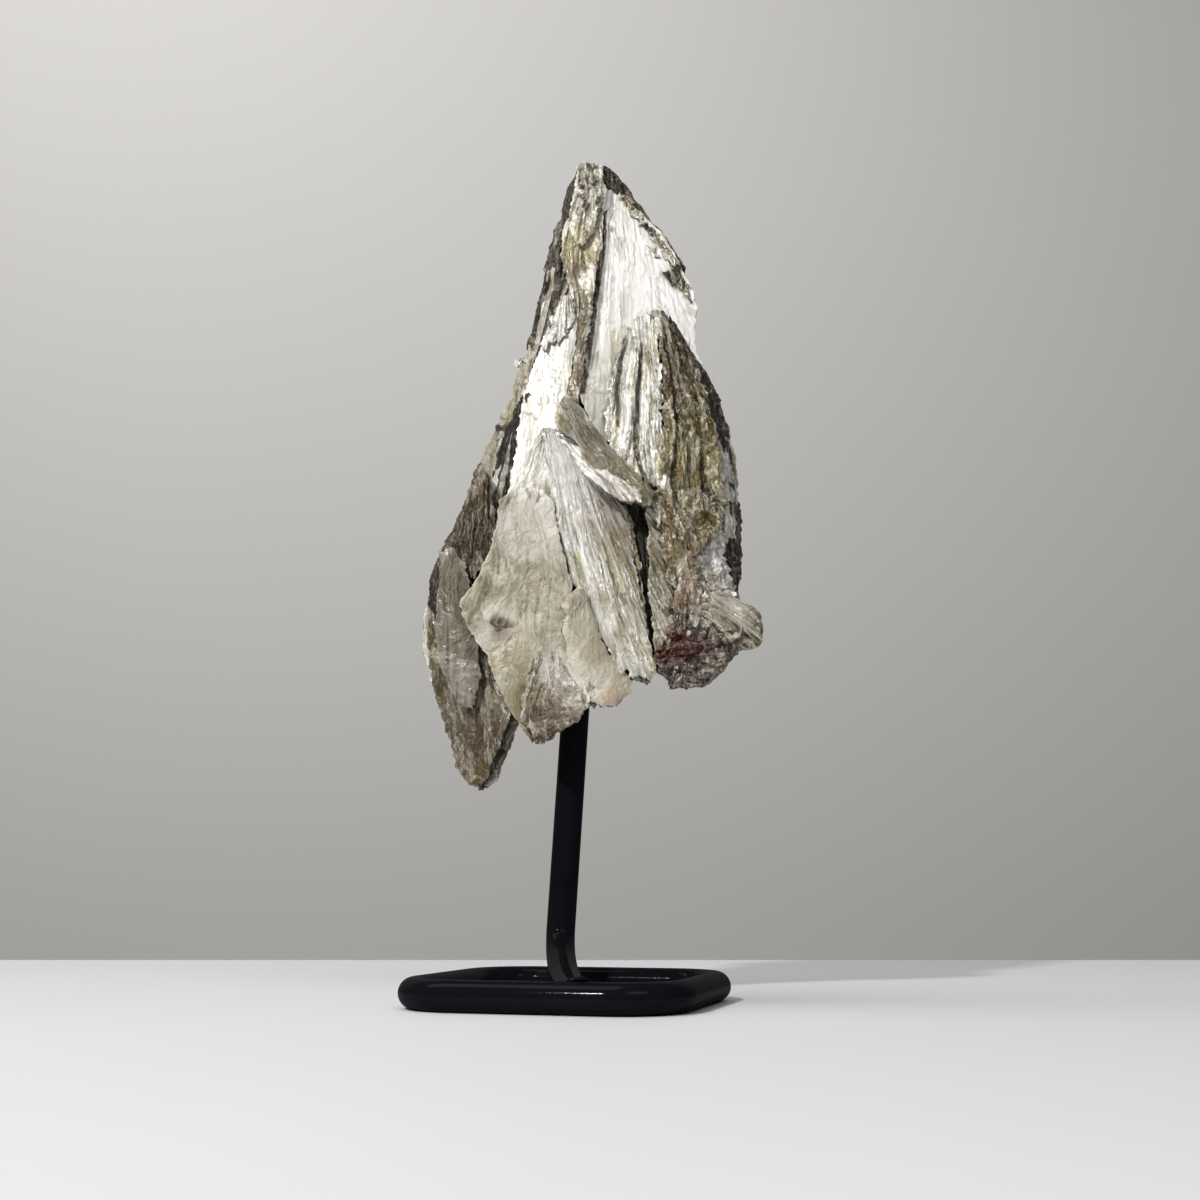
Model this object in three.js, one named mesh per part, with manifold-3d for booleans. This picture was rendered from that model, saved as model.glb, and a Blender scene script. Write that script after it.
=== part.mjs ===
// A cluster of muscovite mica books on a stand of bent round steel rod.
// Millimetres, +Z up.  The base ring's sides run along X and Y; the stone's front looks along -Y, turned
// a little towards +X.
import * as THREE from "three";
import { mergeVertices } from "three/addons/utils/BufferGeometryUtils.js";
import Module from "manifold-3d";

// ---- Driving dimensions ----
const ROD = 8; // diameter of the steel rod
const RING_SIDE = 70.6; // middle of the rod to middle of the rod
const RING_CORNER = 15.7; // corner radius of the rod's middle line
const ROD_SIDES = 14; // facets round the rod
const CORNER_STEPS = 8; // facets round each corner of the ring
const WELD_ACROSS = 12.7; // weld of the post's leg, to the right of the front rail's middle
const WELD_GAP = 0.3; // the weld's run, between the leg's end and the rail
const LEG_LIFT = 0.5; // the leg's underside at the weld, above the surface that the ring stands on
const BEND_LEVEL = 8; // height at which the middle lines of the post and its leg would meet
const BEND_UP = 12; // how far the bend runs up the post
const BEND_ALONG = 40; // how far it runs along the leg
const POST_STEPS = 48;
const POST_FOOT = new THREE.Vector3(-7.4, 14.5, 17); // a point on the post's straight middle line
const POST_TOP = new THREE.Vector3(-3.2, 17.9, 97); // end of the post inside the stone
const SOCKET_PLAY = 0.3; // glue line between the post and its socket
const STONE_TURN = 16.3; // the stone's front, turned from the ring's front rail, in degrees
const STONE_AXIS = new THREE.Vector3(-1.2, 18.4, 0); // the upright line that the books fan round
const LEDGE_RISE = 1.1; // how far a cleavage ledge stands proud of the sheet below it
const LEDGE_SIZE = 0.84; // a ledge's length and width against the sheet below it
const REAR_SIZE = 0.93; // size of a book's rear sheets against its front sheets
const REAR_START = 0.45; // where the rear sheets begin, as a share of the book's depth

const wasm = await Module();
wasm.setup();

// ---- Solids ----
function toSolid(geometry, matrix = new THREE.Matrix4()) {
  const bare = geometry.index ? geometry.toNonIndexed() : geometry.clone();
  bare.deleteAttribute("normal");
  bare.deleteAttribute("uv");
  bare.applyMatrix4(matrix);
  const closed = mergeVertices(bare, 1e-4);
  const triVerts = new Uint32Array(closed.index.array);
  if (matrix.determinant() < 0) triVerts.reverse();
  const vertProperties = closed.attributes.position.array;
  return new wasm.Manifold(new wasm.Mesh({ numProp: 3, vertProperties, triVerts }));
}

function toGeometry(solid) {
  const mesh = solid.getMesh();
  const geometry = new THREE.BufferGeometry();
  geometry.setAttribute("position", new THREE.BufferAttribute(mesh.vertProperties, 3));
  geometry.setIndex(new THREE.BufferAttribute(mesh.triVerts, 1));
  geometry.computeVertexNormals();
  return geometry;
}

function join(solids) {
  return solids.reduce((whole, piece) => whole.add(piece));
}

// The section of the rod: a polygon with one flat straight down, as far from the middle as the rod's skin.
function rodSection(radius) {
  const corner = radius / Math.cos(Math.PI / ROD_SIDES);
  const section = [];
  for (let i = 0; i < ROD_SIDES; i++) {
    const angle = ((i + 0.5) / ROD_SIDES) * 2 * Math.PI - Math.PI / 2;
    section.push(new THREE.Vector2(corner * Math.cos(angle), corner * Math.sin(angle)));
  }
  return section;
}

// ---- Base ring ----
// A round ring of rod, whose four quarters are drawn apart so that straight rails open between them.
function ringSolid(radius) {
  const section = rodSection(radius).map((p) => new THREE.Vector2(p.x + RING_CORNER, p.y));
  const steps = 4 * CORNER_STEPS;
  const ring = new THREE.LatheGeometry([...section, section[0]], steps, Math.PI / steps);
  ring.rotateX(Math.PI / 2);
  const apart = RING_SIDE / 2 - RING_CORNER;
  const place = ring.attributes.position;
  for (let i = 0; i < place.count; i++) {
    const x = place.getX(i);
    const y = place.getY(i);
    place.setXY(i, x + Math.sign(x) * apart, y + Math.sign(y) * apart);
  }
  ring.translate(0, 0, ROD / 2);
  return toSolid(ring);
}

// ---- Post ----
// The leg climbs a little as it runs back from the weld at the front rail, in a long bend that turns up
// ever more tightly into the post.
function postPath() {
  const weld = new THREE.Vector3(WELD_ACROSS, -RING_SIDE / 2, ROD / 2 + LEG_LIFT);
  const rise = POST_TOP.clone().sub(POST_FOOT).normalize();
  const corner = POST_FOOT.clone().addScaledVector(rise, (BEND_LEVEL - POST_FOOT.z) / rise.z);
  const along = corner.clone().sub(weld).normalize();
  const legEnd = corner.clone().addScaledVector(along, -BEND_ALONG);
  const postStart = corner.clone().addScaledVector(rise, BEND_UP);
  const path = new THREE.CurvePath();
  path.add(new THREE.LineCurve3(weld, legEnd));
  path.add(new THREE.QuadraticBezierCurve3(legEnd, corner, postStart));
  path.add(new THREE.LineCurve3(postStart, POST_TOP));
  return path;
}

// The leg's end is coped to the rail that it is welded to.
function postGeometry() {
  const section = new THREE.Shape(rodSection(ROD / 2));
  const rod = new THREE.ExtrudeGeometry(section, { steps: POST_STEPS, extrudePath: postPath() });
  const coped = toSolid(rod).subtract(ringSolid(ROD / 2 + WELD_GAP));
  return toGeometry(coped.decompose().sort((a, b) => b.volume() - a.volume())[0]);
}

// The drilled socket, from below the stone to just past the post's end.
function socketSolid() {
  const rise = POST_TOP.clone().sub(POST_FOOT).normalize();
  const length = POST_TOP.distanceTo(POST_FOOT) + SOCKET_PLAY;
  const radius = (ROD / 2 + SOCKET_PLAY) / Math.cos(Math.PI / ROD_SIDES) ** 2;
  const drill = new THREE.CylinderGeometry(radius, radius, length, ROD_SIDES);
  const upright = new THREE.Quaternion().setFromUnitVectors(new THREE.Vector3(0, 1, 0), rise);
  const middle = POST_FOOT.clone().addScaledVector(rise, length / 2);
  return toSolid(drill, new THREE.Matrix4().compose(middle, upright, new THREE.Vector3(1, 1, 1)));
}

// ---- Mica books ----
// A book is a stack of mica sheets: its front sheet has the given outline, [across, height] as seen from
// its own side of the stone, and the stack runs back from it.  `at` is [across, height, proud] for one
// point of the front sheet, proud being its distance from the stone's axis towards the viewer.  `turn`
// swings the sheet to face right and `lean` leans it back, in degrees.  `deep` is how far the stack runs
// inwards, and `skew` how far its back is shifted [across, up].  Each ledge is a smaller sheet on top.
const slope = (degrees) => Math.tan(THREE.MathUtils.degToRad(degrees));

function book({ side = 0, at, turn = 0, lean = 0, deep, skew = [0, 0], ledges = 0, outline }) {
  const [across, height, proud] = at;
  const flat = outline.map(([x, z]) => new THREE.Vector2(x - across, z - height));
  const root = flat.reduce((top, p) => (p.y > top.y ? p : top));
  const swing = new THREE.Matrix4().makeRotationZ(THREE.MathUtils.degToRad(side));

  // Sheets of one size, from the depth `start` back to `end` (shares of the book's depth).
  function sheets(size, start, end, rise = 0) {
    const sized = flat.map((p) => root.clone().lerp(p, size));
    const stack = new THREE.ExtrudeGeometry(new THREE.Shape(sized), { depth: 1, bevelEnabled: false });
    stack.scale(1, 1, end - start).translate(0, 0, start);
    const lay = new THREE.Matrix4().makeBasis(
      new THREE.Vector3(1, slope(turn), 0),
      new THREE.Vector3(0, slope(lean), 1),
      new THREE.Vector3(skew[0], deep, skew[1]),
    );
    lay.setPosition(across, -proud - rise, height);
    return toSolid(stack, swing.clone().multiply(lay));
  }

  const front = sheets(1, 0, (1 + REAR_START) / 2);
  const rear = sheets(REAR_SIZE, REAR_START, 1);
  const raised = [];
  for (let n = 1; n <= ledges; n++) {
    raised.push(sheets(LEDGE_SIZE ** n, 0, 0.5, n * LEDGE_RISE));
  }
  return join([front, rear, ...raised]);
}

// A rough grain of matrix rock or quartz grown into the books.
function grain([across, height, proud], [wide, tall, thick], tumble) {
  const place = new THREE.Vector3(across, -proud, height);
  const turned = new THREE.Quaternion().setFromEuler(new THREE.Euler(tumble, 2 * tumble, 3 * tumble));
  const size = new THREE.Vector3(wide / 2, thick / 2, tall / 2);
  const shape = new THREE.IcosahedronGeometry(1, 0);
  shape.applyQuaternion(turned);
  return toSolid(shape, new THREE.Matrix4().compose(place, new THREE.Quaternion(), size));
}

const heart = [
  { at: [0, 150, 5], lean: 6, deep: 17, outline: [
    [-4, 236], [7, 238], [22, 206], [31, 176], [37, 142], [35, 112], [26, 94], [6, 84], [-10, 84],
    [-22, 90], [-32, 108], [-34, 126], [-26, 150], [-15, 182], [-8, 212]] },
  { at: [0, 90, 10], deep: 8, outline: [
    [-30, 116], [-26, 96], [-19, 84], [-12, 80], [10, 82], [20, 90], [26, 104], [24, 118]] },
];

const frontBooks = [
  // The spine that runs down from the tip.
  { at: [4, 190, 10.5], turn: -6, lean: 6, deep: 12, ledges: 1, outline: [
    [-2, 249], [1, 250], [4.5, 249], [5, 228], [3.5, 214], [2, 203], [0, 190], [-2, 172], [-6, 171],
    [-5, 190], [-4, 203], [-7, 216], [-7, 228], [-5, 238]] },
  // Broad silver plate, right of the spine.
  { at: [12, 190, 6], turn: 14, lean: 6, deep: 9, ledges: 1, outline: [
    [6.5, 235], [8, 240], [16, 235], [25, 226], [29, 217], [34, 208], [33, 190], [36, 183], [30, 160],
    [10, 155], [2, 166], [0.5, 175], [2, 192], [4, 203], [6, 222]] },
  // Dark flakes behind that plate's upper edge.
  { at: [12, 240, 0], turn: 20, lean: 6, deep: 8, outline: [
    [3, 249], [8, 247], [14, 241], [20, 233], [28, 222], [33, 211], [20, 213], [8, 236]] },
  // Folded fibrous book on the right: three slats.
  { at: [11, 170, 12], turn: -14, lean: 5, deep: 12, outline: [
    [6, 160], [8, 171], [10, 183], [13, 192], [18, 197], [17, 180], [15, 164], [15, 148], [10, 154]] },
  { at: [21, 170, 13], turn: 6, lean: 5, deep: 14, outline: [
    [17, 196], [21, 199], [26, 193], [28, 175], [27, 155], [23, 141], [16, 147], [14, 165], [16, 180]] },
  { at: [27, 160, 12], turn: 32, lean: 5, deep: 14, outline: [
    [25, 194], [28, 190], [35, 183], [39, 174], [42, 166], [44, 155], [44, 146], [43, 140], [38, 137],
    [30, 134], [23, 141], [26, 155], [27, 175]] },
  // White blade on the left.
  { at: [-12, 150, 13], turn: -11, lean: 6, deep: 9, ledges: 1, outline: [
    [-7, 202], [-3, 197], [-3, 188], [-6, 174], [-5, 160], [-9, 146], [-22, 143], [-21, 156],
    [-20, 169], [-17, 183], [-14, 191], [-11, 196]] },
  // Pearly shoulder between the white blade and the front plate.
  { at: [-14, 145, 15], turn: -8, lean: 10, deep: 10, outline: [
    [-23, 146], [-16, 151], [-9, 158], [-4, 156], [-5, 136], [-12, 132], [-23, 134]] },
  // Front plate, with a lumpy sheet on its lower end.
  { at: [-19, 100, 18], turn: -5, lean: 1, deep: 8, ledges: 1, outline: [
    [-23, 139], [-24, 131], [-28, 124], [-31, 116], [-36, 109], [-33, 102], [-29, 96], [-26, 90],
    [-24, 83], [-20, 78], [-16, 72], [-12, 72], [-10, 70], [-6, 74], [-2, 77], [2, 80], [0, 85],
    [-4, 92], [-6, 101], [-6, 108], [-4, 114], [-6, 124], [-8, 133], [-9, 140], [-16, 143]] },
  { at: [-8, 80, 21], turn: 2, lean: -4, deep: 5, outline: [
    [-15, 84], [-11, 92], [-6, 95], [-4, 90], [0, 84], [1, 80], [-3, 77], [-7, 74], [-10, 71],
    [-13, 74], [-16, 78]] },
  // Bright ridged fan, right of the front plate: a narrow and a broad slope off one ridge.
  { at: [-6, 136, 17], turn: -16, lean: 2, deep: 9, outline: [
    [-11, 159], [-8, 158], [-3, 140], [5, 117], [14, 92], [9, 88], [5, 95], [1, 104], [-3, 114],
    [-6, 124], [-8, 136], [-12, 148]] },
  { at: [-3, 140, 18], turn: 24, lean: 2, deep: 12, ledges: 1, outline: [
    [-8, 158], [-4, 158], [1, 150], [3, 143], [11, 134], [14, 126], [17, 111], [20, 95], [19, 92],
    [13, 87], [9, 90], [1, 112], [-4, 130], [-6, 140]] },
  // Scalloped leaf over the foot of the fan.
  { at: [-4, 80, 19.5], turn: 8, lean: -1, deep: 6, outline: [
    [-2, 113], [-6, 109], [-6, 104], [-4, 97], [-2, 88], [2, 81], [5, 79], [10, 81], [13, 87],
    [8, 94], [3, 103], [0, 111]] },
  // Leaf that crosses the front from the spine's foot down to the right.
  { at: [0, 150, 21], turn: 16, lean: 8, deep: 9, outline: [
    [-7, 169], [-1, 166], [3, 159], [13, 149], [20, 141], [16, 136], [5, 142], [0, 147], [-2, 153],
    [-5, 156], [-5, 162]] },
  // Dark sheets seen on edge, and the fibrous leaf beside them.
  { at: [14, 115, 11], turn: 10, lean: 0, deep: 10, outline: [
    [9, 137], [18, 135], [20, 114], [25, 98], [22, 90], [18, 92], [16, 111], [12, 125]] },
  { at: [24, 110, 13], turn: 22, lean: 3, deep: 12, ledges: 1, outline: [
    [18, 134], [24, 132], [29, 124], [32, 114], [28, 108], [27, 100], [23, 96], [20, 112]] },
  // Rusty dark lump low on the right, with its stub.
  { at: [26, 100, 15], turn: 14, lean: -4, deep: 18, outline: [
    [26, 118], [34, 119], [40, 113], [44, 104], [43, 96], [40, 92], [35, 87], [29, 86], [24, 87],
    [20, 91], [22, 104]] },
  { at: [44, 104, 9], turn: 12, lean: -6, deep: 12, skew: [-3, 0], outline: [
    [34, 114], [42, 112], [50, 109], [53, 104], [52, 99], [49, 96], [44, 96], [38, 99], [34, 106]] },
  // Crusted books above the lump, and the dark leaf at the right edge.
  { at: [30, 128, 11], turn: 20, lean: 2, deep: 14, ledges: 1, outline: [
    [24, 142], [30, 136], [38, 138], [42, 128], [41, 116], [35, 111], [28, 117], [22, 130]] },
  { at: [42, 130, 2], turn: 34, lean: 0, deep: 14, outline: [
    [40, 150], [44, 146], [46, 141], [46, 121], [43, 116], [38, 116], [35, 126], [38, 140]] },
];

const leftBooks = [
  // Narrow edge beside the spine.
  { at: [-10, 210, 4], turn: -32, lean: 4, deep: 14, skew: [2, 0], outline: [
    [-3, 247], [-2, 236], [-4, 220], [-5, 204], [-8, 190], [-16, 186], [-18, 192], [-15, 204],
    [-13, 214], [-11, 224], [-9, 231], [-6, 240]] },
  // Dark steep sheet inside the left edge.
  { at: [-22, 150, 5], turn: -52, lean: 4, deep: 14, outline: [
    [-16, 191], [-19, 178], [-20, 166], [-22, 153], [-24, 143], [-29, 138], [-30, 147], [-28, 155],
    [-25, 167], [-20, 182]] },
  // Long book down the left edge.
  { at: [-26, 150, -1], turn: -28, lean: 4, deep: 14, ledges: 1, outline: [
    [-11, 197], [-18, 191], [-21, 186], [-23, 177], [-28, 169], [-29, 164], [-33, 155], [-36, 146],
    [-40, 137], [-44, 130], [-44, 120], [-34, 116], [-26, 126], [-23, 140], [-24, 150], [-20, 166],
    [-16, 182]] },
  // Brown fibrous book below it.
  { at: [-30, 132, 9], turn: -14, lean: 6, deep: 12, outline: [
    [-33, 150], [-27, 147], [-24, 140], [-24, 131], [-28, 122], [-32, 117], [-38, 124], [-38, 134]] },
  // Hanging blade at the lower left, with a leaf over its upper half.
  { at: [-34, 90, 9], turn: -18, lean: -1, deep: 9, outline: [
    [-42, 126], [-38, 126], [-32, 118], [-28, 104], [-25, 88], [-20, 79], [-23, 71], [-27, 63],
    [-30, 57.5], [-33, 59], [-37, 68], [-41, 83], [-46, 96], [-46, 106], [-44, 110], [-45, 116]] },
  { at: [-36, 100, 12], turn: -10, lean: -2, deep: 6, outline: [
    [-42, 124], [-37, 126], [-33, 118], [-30, 106], [-28, 94], [-32, 82], [-38, 80], [-42, 90],
    [-43, 106]] },
  { at: [-28, 76, 6], turn: 26, lean: -2, deep: 10, outline: [
    [-31, 106], [-27, 100], [-21, 84], [-19, 78], [-22, 70], [-27, 61], [-30, 58], [-30, 70],
    [-31, 88]] },
];

const backBooks = [
  { side: 180, at: [-10, 190, 13], turn: -12, lean: 5, deep: 10, ledges: 1, outline: [
    [1, 247], [-6, 245], [-13, 238], [-22, 224], [-30, 208], [-30, 190], [-33, 176], [-24, 160],
    [-10, 150], [2, 160], [5, 190], [6, 215], [5, 235]] },
  { side: 180, at: [12, 170, 12], turn: 22, lean: 6, deep: 10, ledges: 1, outline: [
    [2, 245], [5, 232], [8, 214], [13, 196], [18, 180], [25, 158], [32, 142], [28, 130], [12, 126],
    [4, 150], [2, 180], [1, 215]] },
  { side: 180, at: [0, 120, 22], turn: 4, lean: 5, deep: 14, ledges: 1, outline: [
    [-8, 190], [2, 196], [8, 180], [14, 150], [20, 118], [18, 102], [8, 90], [-4, 88], [-10, 94],
    [-14, 110], [-16, 140], [-14, 170]] },
  { side: 180, at: [-28, 130, 16], turn: -24, lean: 4, deep: 16, ledges: 1, outline: [
    [-18, 186], [-28, 180], [-36, 166], [-40, 150], [-42, 130], [-41, 114], [-34, 100], [-26, 96],
    [-16, 99], [-13, 112], [-15, 140], [-15, 165]] },
  { side: 180, at: [28, 110, 14], turn: 26, lean: 3, deep: 16, ledges: 1, outline: [
    [18, 152], [28, 146], [36, 132], [40, 116], [39, 102], [34, 92], [28, 84], [24, 88], [19, 93],
    [13, 102], [12, 120], [14, 138]] },
  { side: 180, at: [0, 100, 25], turn: -8, lean: -2, deep: 7, outline: [
    [-6, 124], [4, 128], [10, 114], [12, 98], [6, 87], [-2, 84], [-8, 89], [-12, 102]] },
  { side: 180, at: [0, 150, 25], turn: 12, lean: 8, deep: 9, outline: [
    [-15, 176], [-9, 179], [0, 160], [9, 140], [13, 128], [6, 124], [-4, 136], [-13, 156]] },
];

const flankBooks = [
  { side: 90, at: [0, 150, 33], turn: 6, lean: 10, deep: 16, ledges: 1, outline: [
    [-8, 198], [-2, 210], [6, 212], [13, 190], [18, 160], [20, 130], [17, 108], [6, 102], [-4, 106],
    [-8, 130], [-10, 160]] },
  { side: 90, at: [8, 130, 40], turn: 24, lean: 4, deep: 14, outline: [
    [2, 168], [8, 172], [14, 150], [18, 124], [14, 106], [6, 100], [0, 112], [-1, 140]] },
  { side: 270, at: [0, 150, 24], turn: -8, lean: 13, deep: 12, ledges: 1, outline: [
    [-18, 128], [-14, 160], [-8, 200], [0, 226], [5, 205], [6, 170], [4, 140], [2, 112], [-6, 96],
    [-15, 104]] },
  { side: 270, at: [-8, 112, 36], turn: -20, lean: 8, deep: 12, outline: [
    [-16, 124], [-10, 146], [-2, 150], [4, 128], [4, 104], [-2, 84], [-8, 76], [-14, 92]] },
];

// Grains of dark matrix and clear quartz in the lump, in the crust above it, and on the crown.
const grains = [
  [[33, 96, 11], [20, 14, 12], 0.4],
  [[40, 107, 9], [14, 13, 12], 1.1],
  [[27, 92, 12], [13, 10, 9], 2.3],
  [[38, 99, 10], [11, 12, 13], 3.1],
  [[30, 128, 10], [12, 13, 8], 0.9],
  [[36, 118, 9], [13, 11, 10], 1.7],
  [[25, 138, 12], [11, 9, 8], 2.8],
  [[1, 241, 2], [9, 12, 7], 0.7],
  [[9, 240, 0], [10, 10, 7], 2.1],
];

function clusterGeometry() {
  const books = [...heart, ...frontBooks, ...leftBooks, ...backBooks, ...flankBooks].map(book);
  const stone = join([...books, ...grains.map((g) => grain(...g))]);
  const turned = new THREE.Matrix4().makeRotationZ(THREE.MathUtils.degToRad(STONE_TURN));
  const placed = toSolid(toGeometry(stone), turned.setPosition(STONE_AXIS));
  const drilled = placed.subtract(socketSolid());
  const outerShell = drilled.decompose().sort((a, b) => b.volume() - a.volume())[0];
  return toGeometry(outerShell);
}

// ---- Assembly ----
const blackPaint = { color: 0x0b0c0f, roughness: 0.28, metalness: 0 };
const pearlyMica = { color: 0xa9a08a, roughness: 0.35, metalness: 0.2 };

function piece(name, geometry, finish) {
  const mesh = new THREE.Mesh(geometry, new THREE.MeshStandardMaterial(finish));
  mesh.name = name;
  return mesh;
}

const specimen = new THREE.Group();
specimen.add(piece("base_ring", toGeometry(ringSolid(ROD / 2)), blackPaint));
specimen.add(piece("post", postGeometry(), blackPaint));
specimen.add(piece("mica_cluster", clusterGeometry(), pearlyMica));

// The origin is below the middle of the whole thing, on the surface that it stands on.
const extent = new THREE.Box3().setFromObject(specimen);
const middle = extent.getCenter(new THREE.Vector3());
specimen.children.forEach((mesh) => mesh.position.set(-middle.x, -middle.y, -extent.min.z));

export default specimen;
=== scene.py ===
import math
import random

import bmesh
import bpy
from mathutils import Euler, Matrix, Vector, noise


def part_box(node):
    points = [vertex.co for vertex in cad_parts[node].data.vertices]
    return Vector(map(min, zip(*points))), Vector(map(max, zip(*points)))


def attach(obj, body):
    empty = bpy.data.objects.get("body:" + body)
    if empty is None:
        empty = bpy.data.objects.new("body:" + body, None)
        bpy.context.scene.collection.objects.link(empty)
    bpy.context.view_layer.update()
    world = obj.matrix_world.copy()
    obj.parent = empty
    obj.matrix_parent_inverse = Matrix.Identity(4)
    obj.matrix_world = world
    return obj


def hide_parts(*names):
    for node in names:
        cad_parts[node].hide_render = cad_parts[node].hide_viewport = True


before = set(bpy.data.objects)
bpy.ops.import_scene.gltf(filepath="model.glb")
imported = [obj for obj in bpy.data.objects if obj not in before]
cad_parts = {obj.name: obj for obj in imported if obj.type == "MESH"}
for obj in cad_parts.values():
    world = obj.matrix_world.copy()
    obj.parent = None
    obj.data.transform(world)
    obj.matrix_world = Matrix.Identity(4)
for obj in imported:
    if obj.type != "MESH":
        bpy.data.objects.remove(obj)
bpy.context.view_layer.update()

# ---- Table, wall, lights and camera ----
# A plain pale table top ends a hand's width behind the stand, in front of a plain pale wall.
# A small hard lamp at the front left gives the mica its glints, a broad soft one fills from the
# front right and a third washes the wall.  The camera stands low and looks up at the stone.
STONE_TURN = math.radians(16.3)
ring_low, ring_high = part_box("base_ring")
ring_middle = (ring_low + ring_high) / 2
ring_middle.z = 0
from_the_front = Matrix.Translation(ring_middle) @ Matrix.Rotation(STONE_TURN, 4, "Z")


MOTTLE_DIM = 0.97


def plain_finish(name, colour, roughness, grain):
    """A plain painted surface with a faint cloudy mottle."""
    material = bpy.data.materials.new(name)
    material.use_nodes = True
    nodes, links = material.node_tree.nodes, material.node_tree.links
    shader = nodes["Principled BSDF"]
    place = nodes.new("ShaderNodeTexCoord")
    mottle = nodes.new("ShaderNodeTexNoise")
    mottle.inputs["Scale"].default_value = grain
    mottle.inputs["Detail"].default_value = 3
    tone = nodes.new("ShaderNodeValToRGB")
    tone.color_ramp.elements[0].color = (*[c * MOTTLE_DIM for c in colour], 1)
    tone.color_ramp.elements[1].color = (*colour, 1)
    links.new(place.outputs["Object"], mottle.inputs["Vector"])
    links.new(mottle.outputs["Fac"], tone.inputs["Fac"])
    links.new(tone.outputs["Color"], shader.inputs["Base Color"])
    shader.inputs["Roughness"].default_value = roughness
    return material


def as_object(name, form, finishes, sharp_from=None):
    """Turn a finished form into an object of the scene.  Its place is all in its mesh."""
    mesh = bpy.data.meshes.new(name)
    form.to_mesh(mesh)
    form.free()
    if sharp_from is not None:
        mesh.set_sharp_from_angle(angle=math.radians(sharp_from))
    for finish in finishes:
        mesh.materials.append(finish)
    thing = bpy.data.objects.new(name, mesh)
    bpy.context.scene.collection.objects.link(thing)
    return thing


def stage_sheet(name, low, high, stand, finish):
    """A flat sheet of the room from its low to its high corner, stood up by its stand matrix."""
    sheet = bmesh.new()
    bmesh.ops.create_grid(sheet, x_segments=2, y_segments=2, size=0.5)
    wide, tall = high[0] - low[0], high[1] - low[1]
    bmesh.ops.scale(sheet, vec=(wide, tall, 1), verts=sheet.verts)
    middle = Vector(((low[0] + high[0]) / 2, (low[1] + high[1]) / 2, 0))
    bmesh.ops.translate(sheet, vec=middle, verts=sheet.verts)
    bmesh.ops.transform(sheet, matrix=from_the_front @ stand, verts=sheet.verts)
    as_object(name, sheet, [finish])


TABLE_FRONT, TABLE_BACK, TABLE_HALF = -1.4, 0.262, 1.6
WALL_BACK, WALL_LOW, WALL_HIGH, WALL_HALF = 1.0, -0.8, 1.05, 2.6
TABLE_WHITE, WALL_GREY = (0.74, 0.74, 0.77), (0.66, 0.65, 0.63)
stage_sheet("table_top", (-TABLE_HALF, TABLE_FRONT), (TABLE_HALF, TABLE_BACK), Matrix.Identity(4),
            plain_finish("table_white", TABLE_WHITE, roughness=0.6, grain=9))
wall_stand = Matrix.Translation((0, WALL_BACK, 0)) @ Matrix.Rotation(math.pi / 2, 4, "X")
stage_sheet("wall", (-WALL_HALF, WALL_LOW), (WALL_HALF, WALL_HIGH), wall_stand,
            plain_finish("wall_grey", WALL_GREY, roughness=0.8, grain=2))


def soft_light(name, spot, target, size, watts, colour):
    """A lamp with a flat face of that size, at a spot and turned to a target."""
    lamp = bpy.data.lights.new(name, "AREA")
    lamp.shape = "RECTANGLE"
    lamp.size, lamp.size_y = size
    lamp.energy = watts
    lamp.color = colour
    lamp_object = bpy.data.objects.new(name, lamp)
    bpy.context.scene.collection.objects.link(lamp_object)
    back = Vector(spot) - Vector(target)
    facing = back.to_track_quat("Z", "Y").to_matrix().to_4x4()
    lamp_object.matrix_world = from_the_front @ Matrix.Translation(spot) @ facing


WARM_WHITE, SOFT_WHITE = (1.0, 0.985, 0.96), (1.0, 0.99, 0.98)
soft_light("key", (-0.449, -0.719, 0.66), (0, 0, 0.13), (0.07, 0.06), 7.8, WARM_WHITE)
soft_light("fill", (0.50, -0.95, 1.10), (0, 0, 0.16), (0.7, 0.5), 3.2, SOFT_WHITE)
soft_light("wall_wash", (-0.55, 0.10, 1.35), (-0.20, 1.0, 0.42), (1.2, 0.9), 11.0, SOFT_WHITE)

world = bpy.data.worlds.new("studio")
bpy.context.scene.world = world
world.use_nodes = True
room = world.node_tree.nodes["Background"]
room.inputs["Color"].default_value = (0.80, 0.80, 0.80, 1)
room.inputs["Strength"].default_value = 0.16

bpy.context.scene.view_settings.view_transform = "Standard"

CAMERA_STAND = Vector((0.00803, -0.4157, 0.0297))
CAMERA_PITCH = math.radians(90 + 10.875)
camera = bpy.data.cameras.new("camera")
camera.sensor_width = 36
camera.lens = 45.39
camera.clip_start = 0.01
camera_object = bpy.data.objects.new("camera", camera)
bpy.context.scene.collection.objects.link(camera_object)
camera_object.matrix_world = (from_the_front @ Matrix.Translation(CAMERA_STAND)
                              @ Matrix.Rotation(CAMERA_PITCH, 4, "X"))
bpy.context.scene.camera = camera_object

# ---- Base ring ----
# One length of round steel rod, bent to a rounded square, butt welded and ground smooth, then
# sprayed in black gloss paint.  It stands flat on the table.
ROD_RADIUS = 0.004
ROD_SIDES = 40
RING_HALF = (ring_high.x - ring_low.x) / 2 - ROD_RADIUS
CORNER = 0.0157
CORNER_STEPS = 16


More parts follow.
